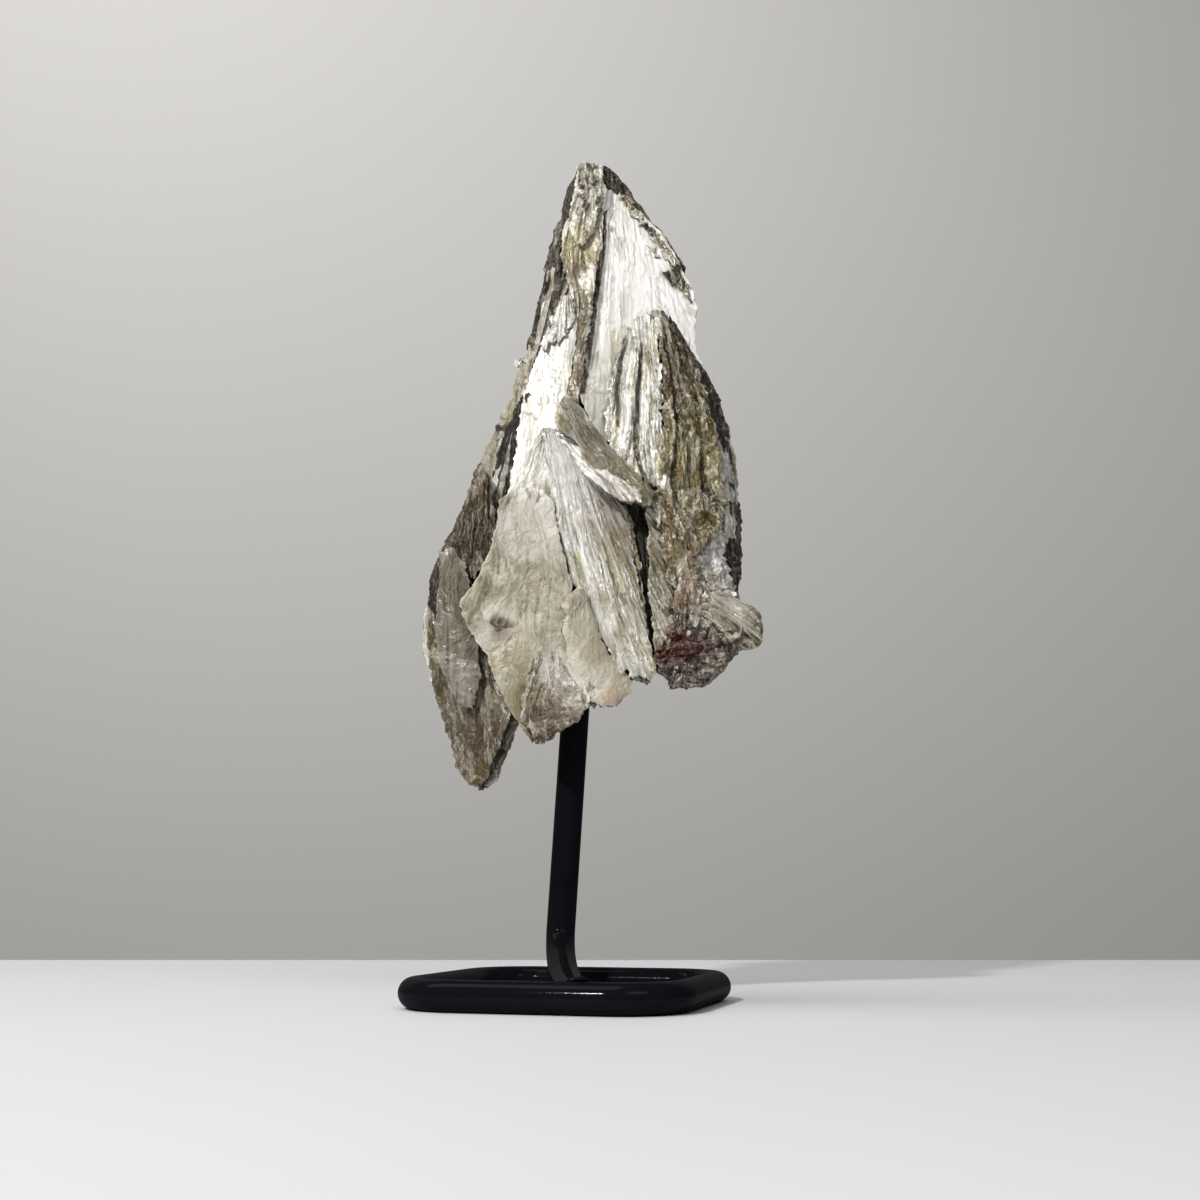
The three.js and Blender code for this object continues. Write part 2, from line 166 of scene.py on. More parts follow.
def black_paint():
    """Gloss paint with a slight flow and orange peel."""
    material = bpy.data.materials.new("black_paint")
    material.use_nodes = True
    nodes, links = material.node_tree.nodes, material.node_tree.links
    shader = nodes["Principled BSDF"]
    place = nodes.new("ShaderNodeTexCoord")
    flow = nodes.new("ShaderNodeTexNoise")
    flow.inputs["Scale"].default_value = 220
    flow.inputs["Detail"].default_value = 2
    tone = nodes.new("ShaderNodeValToRGB")
    tone.color_ramp.elements[0].color = (0.0035, 0.0038, 0.0052, 1)
    tone.color_ramp.elements[1].color = (0.0070, 0.0075, 0.0100, 1)
    sheen = nodes.new("ShaderNodeMapRange")
    sheen.inputs["To Min"].default_value = 0.25
    sheen.inputs["To Max"].default_value = 0.35
    peel = nodes.new("ShaderNodeTexNoise")
    peel.inputs["Scale"].default_value = 900
    ripple = nodes.new("ShaderNodeBump")
    ripple.inputs["Strength"].default_value = 0.12
    ripple.inputs["Distance"].default_value = 0.0002
    links.new(place.outputs["Object"], flow.inputs["Vector"])
    links.new(place.outputs["Object"], peel.inputs["Vector"])
    links.new(flow.outputs["Fac"], tone.inputs["Fac"])
    links.new(flow.outputs["Fac"], sheen.inputs["Value"])
    links.new(peel.outputs["Fac"], ripple.inputs["Height"])
    links.new(tone.outputs["Color"], shader.inputs["Base Color"])
    links.new(sheen.outputs["Result"], shader.inputs["Roughness"])
    links.new(ripple.outputs["Normal"], shader.inputs["Normal"])
    links.new(ripple.outputs["Normal"], shader.inputs["Coat Normal"])
    shader.inputs["Specular IOR Level"].default_value = 0.0
    shader.inputs["Coat Weight"].default_value = 0.10
    shader.inputs["Coat Roughness"].default_value = 0.08
    return material


paint = black_paint()


def pushed_rim(form, rim):
    """Push an open rim of edges out.  Give the new corners, the new rim and the new faces."""
    pushed = bmesh.ops.extrude_edge_only(form, edges=rim)["geom"]
    corners = [g for g in pushed if isinstance(g, bmesh.types.BMVert)]
    corner_set = set(corners)
    new_rim = [g for g in pushed if isinstance(g, bmesh.types.BMEdge)
               and g.verts[0] in corner_set and g.verts[1] in corner_set]
    faces = [g for g in pushed if isinstance(g, bmesh.types.BMFace)]
    return corners, new_rim, faces


SAME_POINT = 1e-6


def stand_piece(name, form):
    """A painted piece of the stand: its seams closed, its faces smooth but for its cut ends."""
    bmesh.ops.remove_doubles(form, verts=form.verts, dist=SAME_POINT)
    bmesh.ops.recalc_face_normals(form, faces=form.faces)
    for face in form.faces:
        face.smooth = True
    return as_object(name, form, [paint], sharp_from=50)


ring_form = bmesh.new()
straight = RING_HALF - CORNER
rod_end = bmesh.ops.create_circle(ring_form, segments=ROD_SIDES, radius=ROD_RADIUS)["verts"]
bmesh.ops.rotate(ring_form, verts=rod_end, matrix=Matrix.Rotation(math.pi / 2, 3, "X"))
bmesh.ops.translate(ring_form, verts=rod_end, vec=(RING_HALF, -straight, ROD_RADIUS))
front_edges = list(ring_form.edges)
for quarter in range(4):
    turned = Matrix.Rotation(quarter * math.pi / 2, 3, "Z")
    moved, front_edges, _ = pushed_rim(ring_form, front_edges)
    bmesh.ops.translate(ring_form, verts=moved, vec=turned @ Vector((0, 2 * straight, 0)))
    swung = bmesh.ops.spin(ring_form, geom=front_edges + moved, axis=(0, 0, 1), steps=CORNER_STEPS,
                           cent=turned @ Vector((straight, straight, ROD_RADIUS)),
                           angle=math.pi / 2)["geom_last"]
    front_edges = [g for g in swung if isinstance(g, bmesh.types.BMEdge)]
bmesh.ops.translate(ring_form, verts=ring_form.verts, vec=ring_middle)
ring_rod = stand_piece("ring_rod", ring_form)
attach(ring_rod, "root")
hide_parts("base_ring")

# ---- Post ----
# A second length of the same rod.  It runs back from the front rail in a long bend that turns up
# ever more tightly into the post, which leans a little and is glued into a hole in the stone.
LEG_LEVEL = 0.0045
BEND_LEVEL = 0.008
BEND_UP = 0.012
BEND_ALONG = 0.040
LEG_START = 0.9 * ROD_RADIUS
BEND_STEPS = 48
weld_spot = ring_middle + Vector((0.0127, -RING_HALF, LEG_LEVEL))
post_foot = ring_middle + Vector((-0.0074, 0.0145, 0.017))
post_top = ring_middle + Vector((-0.0032, 0.0179, 0.0965))
rise = (post_top - post_foot).normalized()
corner_point = post_foot + rise * ((BEND_LEVEL - post_foot.z) / rise.z)
leg_way = (corner_point - weld_spot).normalized()
leg_end = corner_point - leg_way * BEND_ALONG
post_start = corner_point + rise * BEND_UP


def rod_stations(count):
    """The points of the rod's middle line from the weld to its top, each with its direction."""
    stations = [(weld_spot + leg_way * LEG_START, leg_way)]
    for n in range(count + 1):
        share = n / count
        spot = (leg_end * (1 - share) ** 2 + corner_point * 2 * share * (1 - share)
                + post_start * share ** 2)
        way = (corner_point - leg_end) * (1 - share) + (post_start - corner_point) * share
        stations.append((spot, way.normalized()))
    stations.append((post_top, rise))
    return stations


post_form = bmesh.new()
section = bmesh.ops.create_circle(post_form, segments=ROD_SIDES, radius=ROD_RADIUS)["verts"]
rod_verts, rod_edges = list(section), list(post_form.edges)
before = Matrix.Identity(4)
for n, (spot, way) in enumerate(rod_stations(BEND_STEPS)):
    facing_way = Vector((0, 0, 1)).rotation_difference(way).to_matrix().to_4x4()
    lay = Matrix.Translation(spot) @ facing_way
    if n:
        rod_verts, rod_edges, _ = pushed_rim(post_form, rod_edges)
    bmesh.ops.transform(post_form, matrix=lay @ before.inverted(), verts=rod_verts)
    before = lay
for open_end in (section, rod_verts):
    bmesh.ops.contextual_create(post_form, geom=open_end)
post_rod = stand_piece("post_rod", post_form)
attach(post_rod, "root")
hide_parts("post")

# ---- Weld ----
# The bead that joins the leg's end to the front rail: a low smooth roll of melted steel round the
# joint, let into the rail's curve and painted over with the rest.
BEAD_RADIUS, BEAD_SUNK = 0.0008, 0.0002
BEAD_SIDES, BEAD_STEPS = 16, 48
BEAD_RIPPLE, RIPPLES_PER_METRE = 0.0525, 700
BEAD_REACH = 0.95 * ROD_RADIUS
BEAD_HUG = 0.6
BEAD_LOWEST = 0.0003
weld_form = bmesh.new()
bead_ring = bmesh.ops.create_circle(weld_form, segments=BEAD_SIDES, radius=BEAD_RADIUS)["verts"]
bead_turned = (Matrix.Translation((ROD_RADIUS - BEAD_SUNK, 0, 0))
               @ Matrix.Rotation(math.pi / 2, 4, "X"))
bmesh.ops.transform(weld_form, matrix=bead_turned, verts=bead_ring)
bmesh.ops.spin(weld_form, geom=list(weld_form.verts) + list(weld_form.edges), cent=(0, 0, 0),
               axis=(0, 0, 1), angle=math.tau, steps=BEAD_STEPS, use_merge=True)
leg_facing = Vector((0, 0, 1)).rotation_difference(leg_way).to_matrix()
for vert in weld_form.verts:
    spot = leg_facing @ vert.co
    ripple_at = Vector((spot.x * RIPPLES_PER_METRE, spot.z * RIPPLES_PER_METRE, 0.5))
    spot *= 1 + BEAD_RIPPLE * noise.noise(ripple_at)
    curve = ROD_RADIUS - math.sqrt(ROD_RADIUS ** 2 - min(abs(spot.z), BEAD_REACH) ** 2)
    vert.co = weld_spot + Vector((spot.x, spot.y + ROD_RADIUS - BEAD_HUG * curve, spot.z))
    vert.co.z = max(vert.co.z, BEAD_LOWEST)
weld_bead = stand_piece("weld_bead", weld_form)
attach(weld_bead, "root")

# ---- Heart of the stone ----
# The middle of the cluster, where the books have grown together.  It is seen only at the bottom
# of the deep gaps between them, and its near-black finish paints part of the shade in those gaps.
# Every book of the stone is a stack of cleaved sheets: a front sheet with its fibres, ledges and
# torn ends, and the edges of the sheets behind it.
MM = 0.001
NOISE_SEED = 5
noise.seed_set(NOISE_SEED)
stone_middle = ring_middle + Vector((-0.0012, 0.0184, 0))
stone_place = (Matrix.Translation(stone_middle) @ Matrix.Rotation(STONE_TURN, 4, "Z")
               @ Matrix.Diagonal((MM, MM, MM, 1)))
FINISHES = []
# The relief of a curl, the fur and the grain, the parts of a broken sheet's step that its lip and
# its rise take up, with a painted highlight on the lip, and how far the fibres pull the outline of
# a stain or painted patch out.
CURL_HIGH, FUR_HIGH, GRAIN_HIGH = 0.15 * MM, 0.8 * MM, 0.3 * MM
GRAINS_PER_METRE = 1500
LIP_WIDE, STEP_WIDE, CURL_WIDE = 0.14, 0.2, 0.03
BLOT = 2.4


def mica_finish(name, pale, tint, deep, metal, rough, blade, tip, hair, hair_depth, patch,
                share=(0.40, 0.60), weave=0.3, ledges=(1.0, 0.4), steps=9, ledge_depth=0.15,
                vein=(3.0, 1.2), vein_share=0.3, patch_share=0.3, painted_shade_strength=0.9, rim_shine=0.0,
                stains_and_painted_light=()):
    """Make a finish, add it to FINISHES and give its number there.  pale and tint are the
    colours of the clear sheets and the stained ones, and deep is the painted shade in the gaps
    between slats and sheets and in the creases.  blade, hair, ledges and vein say how many small
    blades, fine fibres, broken sheets and curls lie across and along a centimetre.  Each stain,
    whether a real stain, a patch of painted shade or a painted highlight, is its middle on the
    stone in mm, its reach, its colour and its strength."""
    material = bpy.data.materials.new(name)
    material.use_nodes = True
    nodes, links = material.node_tree.nodes, material.node_tree.links
    shader = nodes["Principled BSDF"]

    def spread(source, low, high, to_low=0.0, to_high=1.0):
        ranged = nodes.new("ShaderNodeMapRange")
        ranged.interpolation_type = "SMOOTHSTEP"
        ranged.inputs["From Min"].default_value = low
        ranged.inputs["From Max"].default_value = high
        ranged.inputs["To Min"].default_value = to_low
        ranged.inputs["To Max"].default_value = to_high
        links.new(source, ranged.inputs["Value"])
        return ranged.outputs["Result"]

    def blend(amount, first, second):
        mix = nodes.new("ShaderNodeMix")
        mix.data_type = "RGBA"
        links.new(amount, mix.inputs["Factor"])
        for end, socket_name in ((first, "A"), (second, "B")):
            socket = [s for s in mix.inputs if s.name == socket_name and s.type == "RGBA"][0]
            if isinstance(end, tuple):
                socket.default_value = (*end, 1)
            else:
                links.new(end, socket)
        return [s for s in mix.outputs if s.type == "RGBA"][0]

    def work(kind, first, second=0.0):
        sum_node = nodes.new("ShaderNodeMath")
        sum_node.operation = kind
        for end, socket in ((first, sum_node.inputs[0]), (second, sum_node.inputs[1])):
            if isinstance(end, (int, float)):
                socket.default_value = end
            else:
                links.new(end, socket)
        return sum_node.outputs[0]

    def weigh(first, part, second):
        return work("ADD", work("MULTIPLY", first, part), work("MULTIPLY", second, 1 - part))

    def vector_work(kind, first, second):
        vector_node = nodes.new("ShaderNodeVectorMath")
        vector_node.operation = kind
        for end, socket in ((first, vector_node.inputs[0]), (second, vector_node.inputs[1])):
            if isinstance(end, (tuple, Vector)):
                socket.default_value = end
            else:
                links.new(end, socket)
        return vector_node.outputs["Value" if kind in ("DOT_PRODUCT", "DISTANCE") else "Vector"]

    def cloud_node(vector, scale, detail, rough_share=0.6):
        cloud = nodes.new("ShaderNodeTexNoise")
        cloud.inputs["Scale"].default_value = scale
        cloud.inputs["Detail"].default_value = detail
        cloud.inputs["Roughness"].default_value = rough_share
        links.new(vector, cloud.inputs["Vector"])
        return cloud.outputs

    def drawn_out(vector, across, along):
        drawn = nodes.new("ShaderNodeMapping")
        drawn.inputs["Scale"].default_value = (across, along, 1)
        links.new(vector, drawn.inputs["Vector"])
        return drawn.outputs["Vector"]

    def raised(height, strength, distance, under=None):
        bump = nodes.new("ShaderNodeBump")
        bump.inputs["Strength"].default_value = strength
        bump.inputs["Distance"].default_value = distance
        links.new(height, bump.inputs["Height"])
        if under is not None:
            links.new(under, bump.inputs["Normal"])
        return bump.outputs["Normal"]

    place = nodes.new("ShaderNodeTexCoord").outputs["Object"]
    # The attribute holds each sheet's tone, its painted shade and its nearness to the rim, where a painted
    # highlight lies.
    tone_shade_and_highlight_node = nodes.new("ShaderNodeAttribute")
    tone_shade_and_highlight_node.attribute_name = "tone_shade_and_highlight"
    split = nodes.new("ShaderNodeSeparateColor")
    links.new(tone_shade_and_highlight_node.outputs["Color"], split.inputs["Color"])
    strand, painted_shade, at_rim = split.outputs["Red"], split.outputs["Green"], split.outputs["Blue"]
    run = nodes.new("ShaderNodeUVMap")
    run.uv_map = "fibre"
    swirl = cloud_node(run.outputs["UV"], 1.2, 3)["Color"]
    woven = vector_work("ADD", run.outputs["UV"], vector_work("MULTIPLY", swirl, (weave, weave, 0)))

    # Small blades, each a flat facet that leans its own way.
    blades = nodes.new("ShaderNodeTexVoronoi")
    blades.inputs["Scale"].default_value = 1
    blade_space = drawn_out(woven, *blade)
    links.new(blade_space, blades.inputs["Vector"])
    lean_of_blade = vector_work("SUBTRACT", blades.outputs["Color"], (0.5, 0.5, 0.5))
    from_middle = vector_work("SUBTRACT", blade_space, blades.outputs["Position"])
    facet = vector_work("DOT_PRODUCT", from_middle, lean_of_blade)
    blade_tone = nodes.new("ShaderNodeSeparateColor")
    links.new(blades.outputs["Color"], blade_tone.inputs["Color"])

    # Broken sheets in steps, each with a tone of its own and a painted highlight on its torn lip.
    field = work("MULTIPLY", cloud_node(drawn_out(woven, *ledges), 1.0, 5, 0.55)["Fac"], steps)
    level, within = work("FLOOR", field), work("FRACT", field)
    shelf = work("ADD", level, spread(within, 0.0, STEP_WIDE))
    torn_lip = spread(within, 0.0, LIP_WIDE, 1, 0)
    chance = nodes.new("ShaderNodeTexWhiteNoise")
    chance.noise_dimensions = "1D"
    links.new(level, chance.inputs["W"])

    # Fine fibres, soft clouds of colour and curled lines with painted highlights.
    hairs = cloud_node(drawn_out(woven, *hair), 1.0, 6, 0.68)["Fac"]
    clouds = cloud_node(place, patch, 4)["Fac"]
    curl = work("ABSOLUTE", work("SUBTRACT", cloud_node(drawn_out(woven, *vein), 1.0, 4)["Fac"], 0.5))
    curl_line = spread(curl, 0.0, CURL_WIDE, 1, 0)

    sheets_tone = weigh(strand, 0.35, chance.outputs["Value"])
    fibres_tone = weigh(hairs, 0.7, blade_tone.outputs["Blue"])
    tone = weigh(clouds, patch_share, weigh(fibres_tone, 0.65, sheets_tone))
    colour = blend(spread(tone, *share), pale, tint)
    # Painted shade: the gaps between slats and sheets and the creases are darkened towards deep; on the
    # chips this channel is a random darkness of their own.
    painted_shade_mask = spread(weigh(painted_shade, 0.6, weigh(hairs, 0.7, clouds)), 0.42, 0.62)
    colour = blend(work("MULTIPLY", painted_shade_mask, painted_shade_strength), colour, deep)
    # Painted highlights along the curled lines and the torn lips.
    painted_glint = work("MULTIPLY", work("MAXIMUM", curl_line, torn_lip), vein_share)
    colour = blend(work("MULTIPLY", painted_glint, spread(clouds, 0.38, 0.6)), colour, pale)
    # A painted highlight towards the rim of the front sheet.
    if rim_shine:
        colour = blend(work("MULTIPLY", spread(at_rim, 0.45, 0.9), rim_shine), colour, pale)
    # Stains, and patches of painted shade and painted highlight, that follow the fibres at their outlines
    # and leave flecks of the sheet clear.
    fleck = spread(weigh(hairs, 0.6, clouds), 0.42, 0.56, 0.4, 1)
    for middle, reach, mark_colour, strength in stains_and_painted_light:
        away = vector_work("DISTANCE", place, stone_place @ Vector((middle[0], -middle[2], middle[1])))
        blotted = weigh(clouds, 0.6, weigh(hairs, 0.5, blade_tone.outputs["Red"]))
        blot = work("MULTIPLY", blotted, BLOT)
        near = work("ADD", spread(away, 0, reach * MM), blot)
        colour = blend(work("MULTIPLY", spread(near, 1.35, 1.85, strength, 0), fleck), colour, mark_colour)
    links.new(colour, shader.inputs["Base Color"])
    links.new(spread(weigh(hairs, 0.5, clouds), 0.35, 0.65, *rough), shader.inputs["Roughness"])
    shader.inputs["Metallic"].default_value = metal
    # Relief, from the broad facets up to the fur and the finest grain.
    bed = raised(facet, 1.0, tip * MM)
    stepped = raised(shelf, 1.0, ledge_depth * MM, bed)
    curled = raised(curl_line, 0.6 * vein_share, CURL_HIGH, stepped)
    furred = raised(hairs, hair_depth, FUR_HIGH, curled)
    grains = cloud_node(place, GRAINS_PER_METRE, 2)["Fac"]
    links.new(raised(grains, 0.4 * hair_depth, GRAIN_HIGH, furred), shader.inputs["Normal"])
    FINISHES.append(material)
    return len(FINISHES) - 1


# Near-black sheets seen on edge.  Where this finish lies on the steep face left of the white blade, in the
# cleft right of the fan, along the spine's right side, on the hanging blade's right wall and in the heart,
# its darkness partly paints the shade that falls there.
dark_sheet_and_shade = mica_finish("dark_sheet_and_shade", (0.46, 0.43, 0.37), (0.05, 0.038, 0.026), (0.006, 0.005, 0.004),
    metal=0.4, rough=(0.18, 0.42), share=(0.24, 0.44), weave=0.4, blade=(8, 1.5), tip=1.8, hair=(20, 3),
    hair_depth=0.9, ledges=(2, 0.7), ledge_depth=0.3, vein=(5, 2), vein_share=0.8, patch=220,
    # Two near-black patches: painted shadow on the steep face left of the white blade and in the cleft
    # right of the fan.
    stains_and_painted_light=[((-24, 155, 8), 50, (0.008, 0.006, 0.005), 0.9),
            ((14, 118, 12), 60, (0.01, 0.008, 0.006), 0.8)])
edges = mica_finish("sheet_edges", (0.74, 0.7, 0.6), (0.2, 0.155, 0.09), (0.02, 0.015, 0.009), metal=0.4,
    rough=(0.18, 0.42), blade=(14, 1.5), tip=1.2, hair=(40, 1.5), hair_depth=0.8, vein_share=0.3,
    patch=150)


def edge_runner(edge):
    """Give a function for the point at a share of an edge's length, and that length."""
    corners = [Vector(p) for p in edge]
    reached = [0.0]
    for first, second in zip(corners, corners[1:]):
        reached.append(reached[-1] + (second - first).length)
    total = reached[-1]

    def at_share(share):
        goal = share * total
        for n in range(1, len(reached)):
            if goal <= reached[n] or n == len(reached) - 1:
                part = (goal - reached[n - 1]) / (reached[n] - reached[n - 1])
                return corners[n - 1].lerp(corners[n], part)

    return at_share, total


CENTIMETRES = 0.1
# How fast each unevenness of a sheet changes across and along its fibres, per mm.
DRIFT, HAIRS, SWELLS = (0.10, 0.05), (1.7, 0.11), (0.06, 0.05)
LEDGES, LEDGE_BITS = (0.11, 0.06), (0.5, 0.3)
PLEATS, FINE_PLEATS = (0.30, 0.035), (0.8, 0.09)
CREASES, FINE_CREASES, FINEST_CREASES = (0.17, 0.10), (0.42, 0.26), (1.1, 0.7)
RIDGE_SHARP = 2.6
# A slat's wander, the pieces it is broken into over a length in mm, and how gently they slip.
SLAT_WANDER = 0.9
SLAT_PIECES, PIECES_VARY, PIECES_OVER, PIECES_SHIFT, SLIP = 2, 1.5, 30, 5, 0.3
# How much painted shade darkens the lower slats, and the folds and creases.
SLAT_SHADE_SHARE, CREASE_SHADE_SHARE = 0.42, 0.75
# A torn edge: its waves, and its chips in mm.
TEAR_WAVES, TEAR_CHIP, CHIP_SHARE = 0.22, 1.3, 0.18
# How a front sheet rolls off and flattens towards its rim, and how far in its tears reach, in mm.
EDGE_ROLL, ROLL_REACH = 0.15, 0.9
RIM_FLAT, RIM_REACH = 0.35, 1.2
SIDE_TEAR_REACH, END_TEAR_REACH = 1.4, 3.0
# How the sheets behind stand in and out and thicken backwards, and the gaps between them.
SHEETS_APART, SHEETS_THICKEN, LEVEL_GAP = 0.78, 1.15, 0.02
# Painted shade on the edges of the sheets behind: light on each sheet's own edge, heavy on the step between
# two sheets.
LIT_EDGE, SHADED_EDGE = 0.30, 0.80
RIM_SPAN = 4
BACK_RELIEF = 0.6
SEAM_GAP = 1e-5


def mica_book(stone, seed, at, turn, lean, left, right, finish, deep, rim=edges, side=0, fan=None,
              sheets=6, taper=0.12, skew=(0, 0), cell=0.4, crown=0.0, wave=0.6, strip=1.6, rise=0.25,
              tilt=0.35, fine=0.10, sway=0.3, step=0.0, swell=0.0, pleat=0.0, crumple=0.0, folds=(),
              ragged=0.8, tip=1.2, back=False):
    """One book of mica.  at is a point of its front sheet, [across, height, proud] in mm, and turn
    and lean are the sheet's slopes.  left and right are its edges from its root to its tip,
    [across, height], and fan is the point that its fibres spread from.  finish and rim number the
    finishes of its face and its edges, and deep and sheets say how thick the book is and of how
    many sheets.  strip, rise, tilt and fine shape its slats and hairs, step, swell, pleat, crumple
    and folds its ledges, waves and creases, and ragged, tip and taper its torn outline."""
    across, height, proud = at
    slope_turn, slope_lean = math.tan(math.radians(turn)), math.tan(math.radians(lean))
    facing = Vector((slope_turn, -1, slope_lean)).normalized()
    left_at, left_long = edge_runner(left)
    right_at, right_long = edge_runner(right)
    long = (left_long + right_long) / 2
    wide = max((left_at(n / 8) - right_at(n / 8)).length for n in range(9))
    columns, rows = max(3, round(wide / cell)), max(4, round(long / cell))
    sheet = bmesh.new()
    tone_shade_and_highlight = sheet.verts.layers.float_color.new("tone_shade_and_highlight")
    rim_number = sheet.verts.layers.int.new("rim_number")
    fibre_map = sheet.loops.layers.uv.new("fibre")

    def chance(first, second, layer=0):
        """A value of its own for each slat, piece or sheet of this book."""
        return noise.cell(Vector((first, second, seed + layer)))

    def torn_edge(reach, number, kind):
        """How far a torn edge stands out at a distance along it."""
        spot = Vector((reach * TEAR_WAVES, number * 1.7 + kind, seed))
        return (noise.noise(spot) + 0.55 * noise.noise(spot * 2.9) + 0.35 * noise.noise(spot * 7.7)
                + CHIP_SHARE * chance(reach / TEAR_CHIP, number, kind))

    top_middle = (Vector(left[0]) + Vector(right[0])) / 2
    spring = Vector(fan) if fan else top_middle + Vector((0, long * 0.6))
    half_way = (spring - (left_at(0.5) + right_at(0.5)) / 2).length

    def relief(s, t, flat):
        """How far the sheet stands out at s across and t down, its tone, its painted shade and its
        fibre map.  Slats run down from the spring, each slips, tilts and carries hairs of its own."""
        ray = flat - spring
        x, y = math.atan2(ray.x, -ray.y) * half_way, ray.length
        drift = noise.noise_vector(Vector((x * DRIFT[0], y * DRIFT[1], seed + 60)))
        x, y = x + wave * drift.x, y + wave * drift.y

        def ripple(scales, layer):
            return noise.noise(Vector((x * scales[0], y * scales[1], seed + layer)))

        def ridge(scales, layer):
            return 1 - RIDGE_SHARP * abs(ripple(scales, layer))

        count = (x / strip + SLAT_WANDER * noise.noise(Vector((x * 0.4, 0.5, seed)))
                 + sway * noise.noise(Vector((s * 2.3, t * 1.7, seed))))
        number = math.floor(count)
        within = count - number - 0.5
        pieces = (SLAT_PIECES + PIECES_VARY * chance(number, 3.5)) * long / PIECES_OVER
        run_down = t * pieces + PIECES_SHIFT * chance(number, 7.5)
        piece = math.floor(run_down)
        slid = min(1.0, (run_down - piece) / SLIP)
        slid = slid * slid * (3 - 2 * slid)
        level = chance(number, piece) * slid + chance(number, piece - 1) * (1 - slid)
        swing = chance(number, piece, 40)
        fur = rise * level + tilt * swing * within + fine * ripple(HAIRS, 9)
        broad = crown * (1 - (2 * s - 1) ** 2)
        painted_shade_mask = 0.0
        if swell:
            broad += swell * ripple(SWELLS, 25)
        if step:
            cloud = 3.2 * ripple(LEDGES, 20) + 0.5 * ripple(LEDGE_BITS, 22)
            broad += step * math.floor(cloud + 0.3 * level + 0.5)
        if pleat:
            fold_line = ridge(PLEATS, 70) + 0.5 * ridge(FINE_PLEATS, 75)
            broad += pleat * fold_line
            painted_shade_mask = max(painted_shade_mask, 0.4 * (0.2 - fold_line))
        if crumple:
            crease = (ridge(CREASES, 80) + 0.5 * ridge(FINE_CREASES, 85)
                      + 0.3 * ridge(FINEST_CREASES, 90))
            broad += crumple * crease
            painted_shade_mask = max(painted_shade_mask, 0.4 * (0.2 - crease))
        for top, low, start, end, depth, half in folds:
            middle = (top + (low - top) * t + 0.03 * noise.noise(Vector((t * 5, top * 9, seed)))) * wide
            open_here = max(0.0, 1 - ((t - (start + end) / 2) / ((end - start) / 2)) ** 4)
            cut = math.exp(-((s * wide - middle) / half) ** 2) * open_here
            broad -= depth * cut
            painted_shade_mask = max(painted_shade_mask, cut)
        # Painted shade, darkest on the lowest slats and in the folds and creases.
        shade_between_slats = max(0.0, SLAT_SHADE_SHARE - SLAT_SHADE_SHARE * fur / (rise + tilt / 2 + fine))
        painted_shade = min(1.0, shade_between_slats + CREASE_SHADE_SHARE * painted_shade_mask)
        return broad + fur, 0.5 + 0.5 * level, painted_shade, (x * CENTIMETRES, y * CENTIMETRES)

    def shape(verts, behind):
        """Lay a square grid out on the front sheet, or on the sheet at the very back."""
        for vert in verts:
            s, t = vert.co.x + 0.5, 0.5 - vert.co.y
            flat = left_at(t).lerp(right_at(t), s)
            up, tone, painted_shade, fan_place = relief(s, t, flat)
            from_side = min(s, 1 - s) * wide
            from_end = min(t, 1 - t) * long
            side_torn = ragged * torn_edge(flat.y, 0, s > 0.5)
            flat.x += side_torn * (s - 0.5) * 2 * math.exp(-from_side / SIDE_TEAR_REACH)
            foot_torn = tip * torn_edge(flat.x * 1.4, 3, 2)
            flat.y -= foot_torn * math.exp(-(1 - t) * long / END_TEAR_REACH)
            head_torn = 0.5 * tip * torn_edge(flat.x * 1.4, 3, 4)
            flat.y += head_torn * math.exp(-t * long / END_TEAR_REACH)
            from_rim = min(from_side, from_end)
            edge_near = math.exp(-from_rim / RIM_REACH)
            up = up * (1 - RIM_FLAT * edge_near) - EDGE_ROLL * math.exp(-from_rim / ROLL_REACH)
            if behind:
                up = -deep - BACK_RELIEF * up
            proud_here = proud - slope_turn * (flat.x - across) - slope_lean * (flat.y - height)
            vert.co = Vector((flat.x, -proud_here, flat.y)) + facing * up
            vert[tone_shade_and_highlight] = (tone, painted_shade, edge_near, 1)
            vert[rim_number] = -1
            place_of[vert] = fan_place
            grid_key[vert] = (round(s * columns), round(t * rows))
        for face in {f for v in verts for f in v.link_faces}:
            face.material_index = finish
            face.smooth = True
            for loop in face.loops:
                loop[fibre_map].uv = place_of[loop.vert]

    place_of, grid_key = {}, {}
    grid = bmesh.ops.create_grid(sheet, x_segments=columns, y_segments=rows, size=0.5)["verts"]
    shape(grid, False)

    # The rim in order, with the way that is outward at each of its points.
    rim_edges = [e for e in sheet.edges if len(e.link_faces) == 1]
    start = rim_edges[0].verts[0]
    loop_verts, last, here = [start], None, start
    while True:
        onward = [e.other_vert(here) for e in here.link_edges
                  if len(e.link_faces) == 1 and e.other_vert(here) is not last]
        last, here = here, onward[0]
        if here is start:
            break
        loop_verts.append(here)
    count = len(loop_verts)
    rim_of = {}
    for n, vert in enumerate(loop_verts):
        vert[rim_number] = n
        rim_of[grid_key[vert]] = n
    base = [v.co.copy() for v in loop_verts]
    middle = sum(base, Vector()) / count
    outward = []
    for n in range(count):
        ahead = base[(n + RIM_SPAN) % count] - base[n - RIM_SPAN]
        outward.append(ahead.cross(facing).normalized())
    if sum((base[n] - middle).dot(outward[n]) for n in range(count)) < 0:
        outward = [-o for o in outward]
    inward = Vector((skew[0] / deep, 1, skew[1] / deep))
    arc = [n * cell * CENTIMETRES for n in range(count)]
    if back:
        rear = bmesh.ops.create_grid(sheet, x_segments=columns, y_segments=rows, size=0.5)["verts"]
        shape(rear, True)
        rear_rim = {rim_of[grid_key[v]]: v.co.copy() for v in rear
                    if grid_key[v] in rim_of and any(len(e.link_faces) == 1 for e in v.link_edges)}

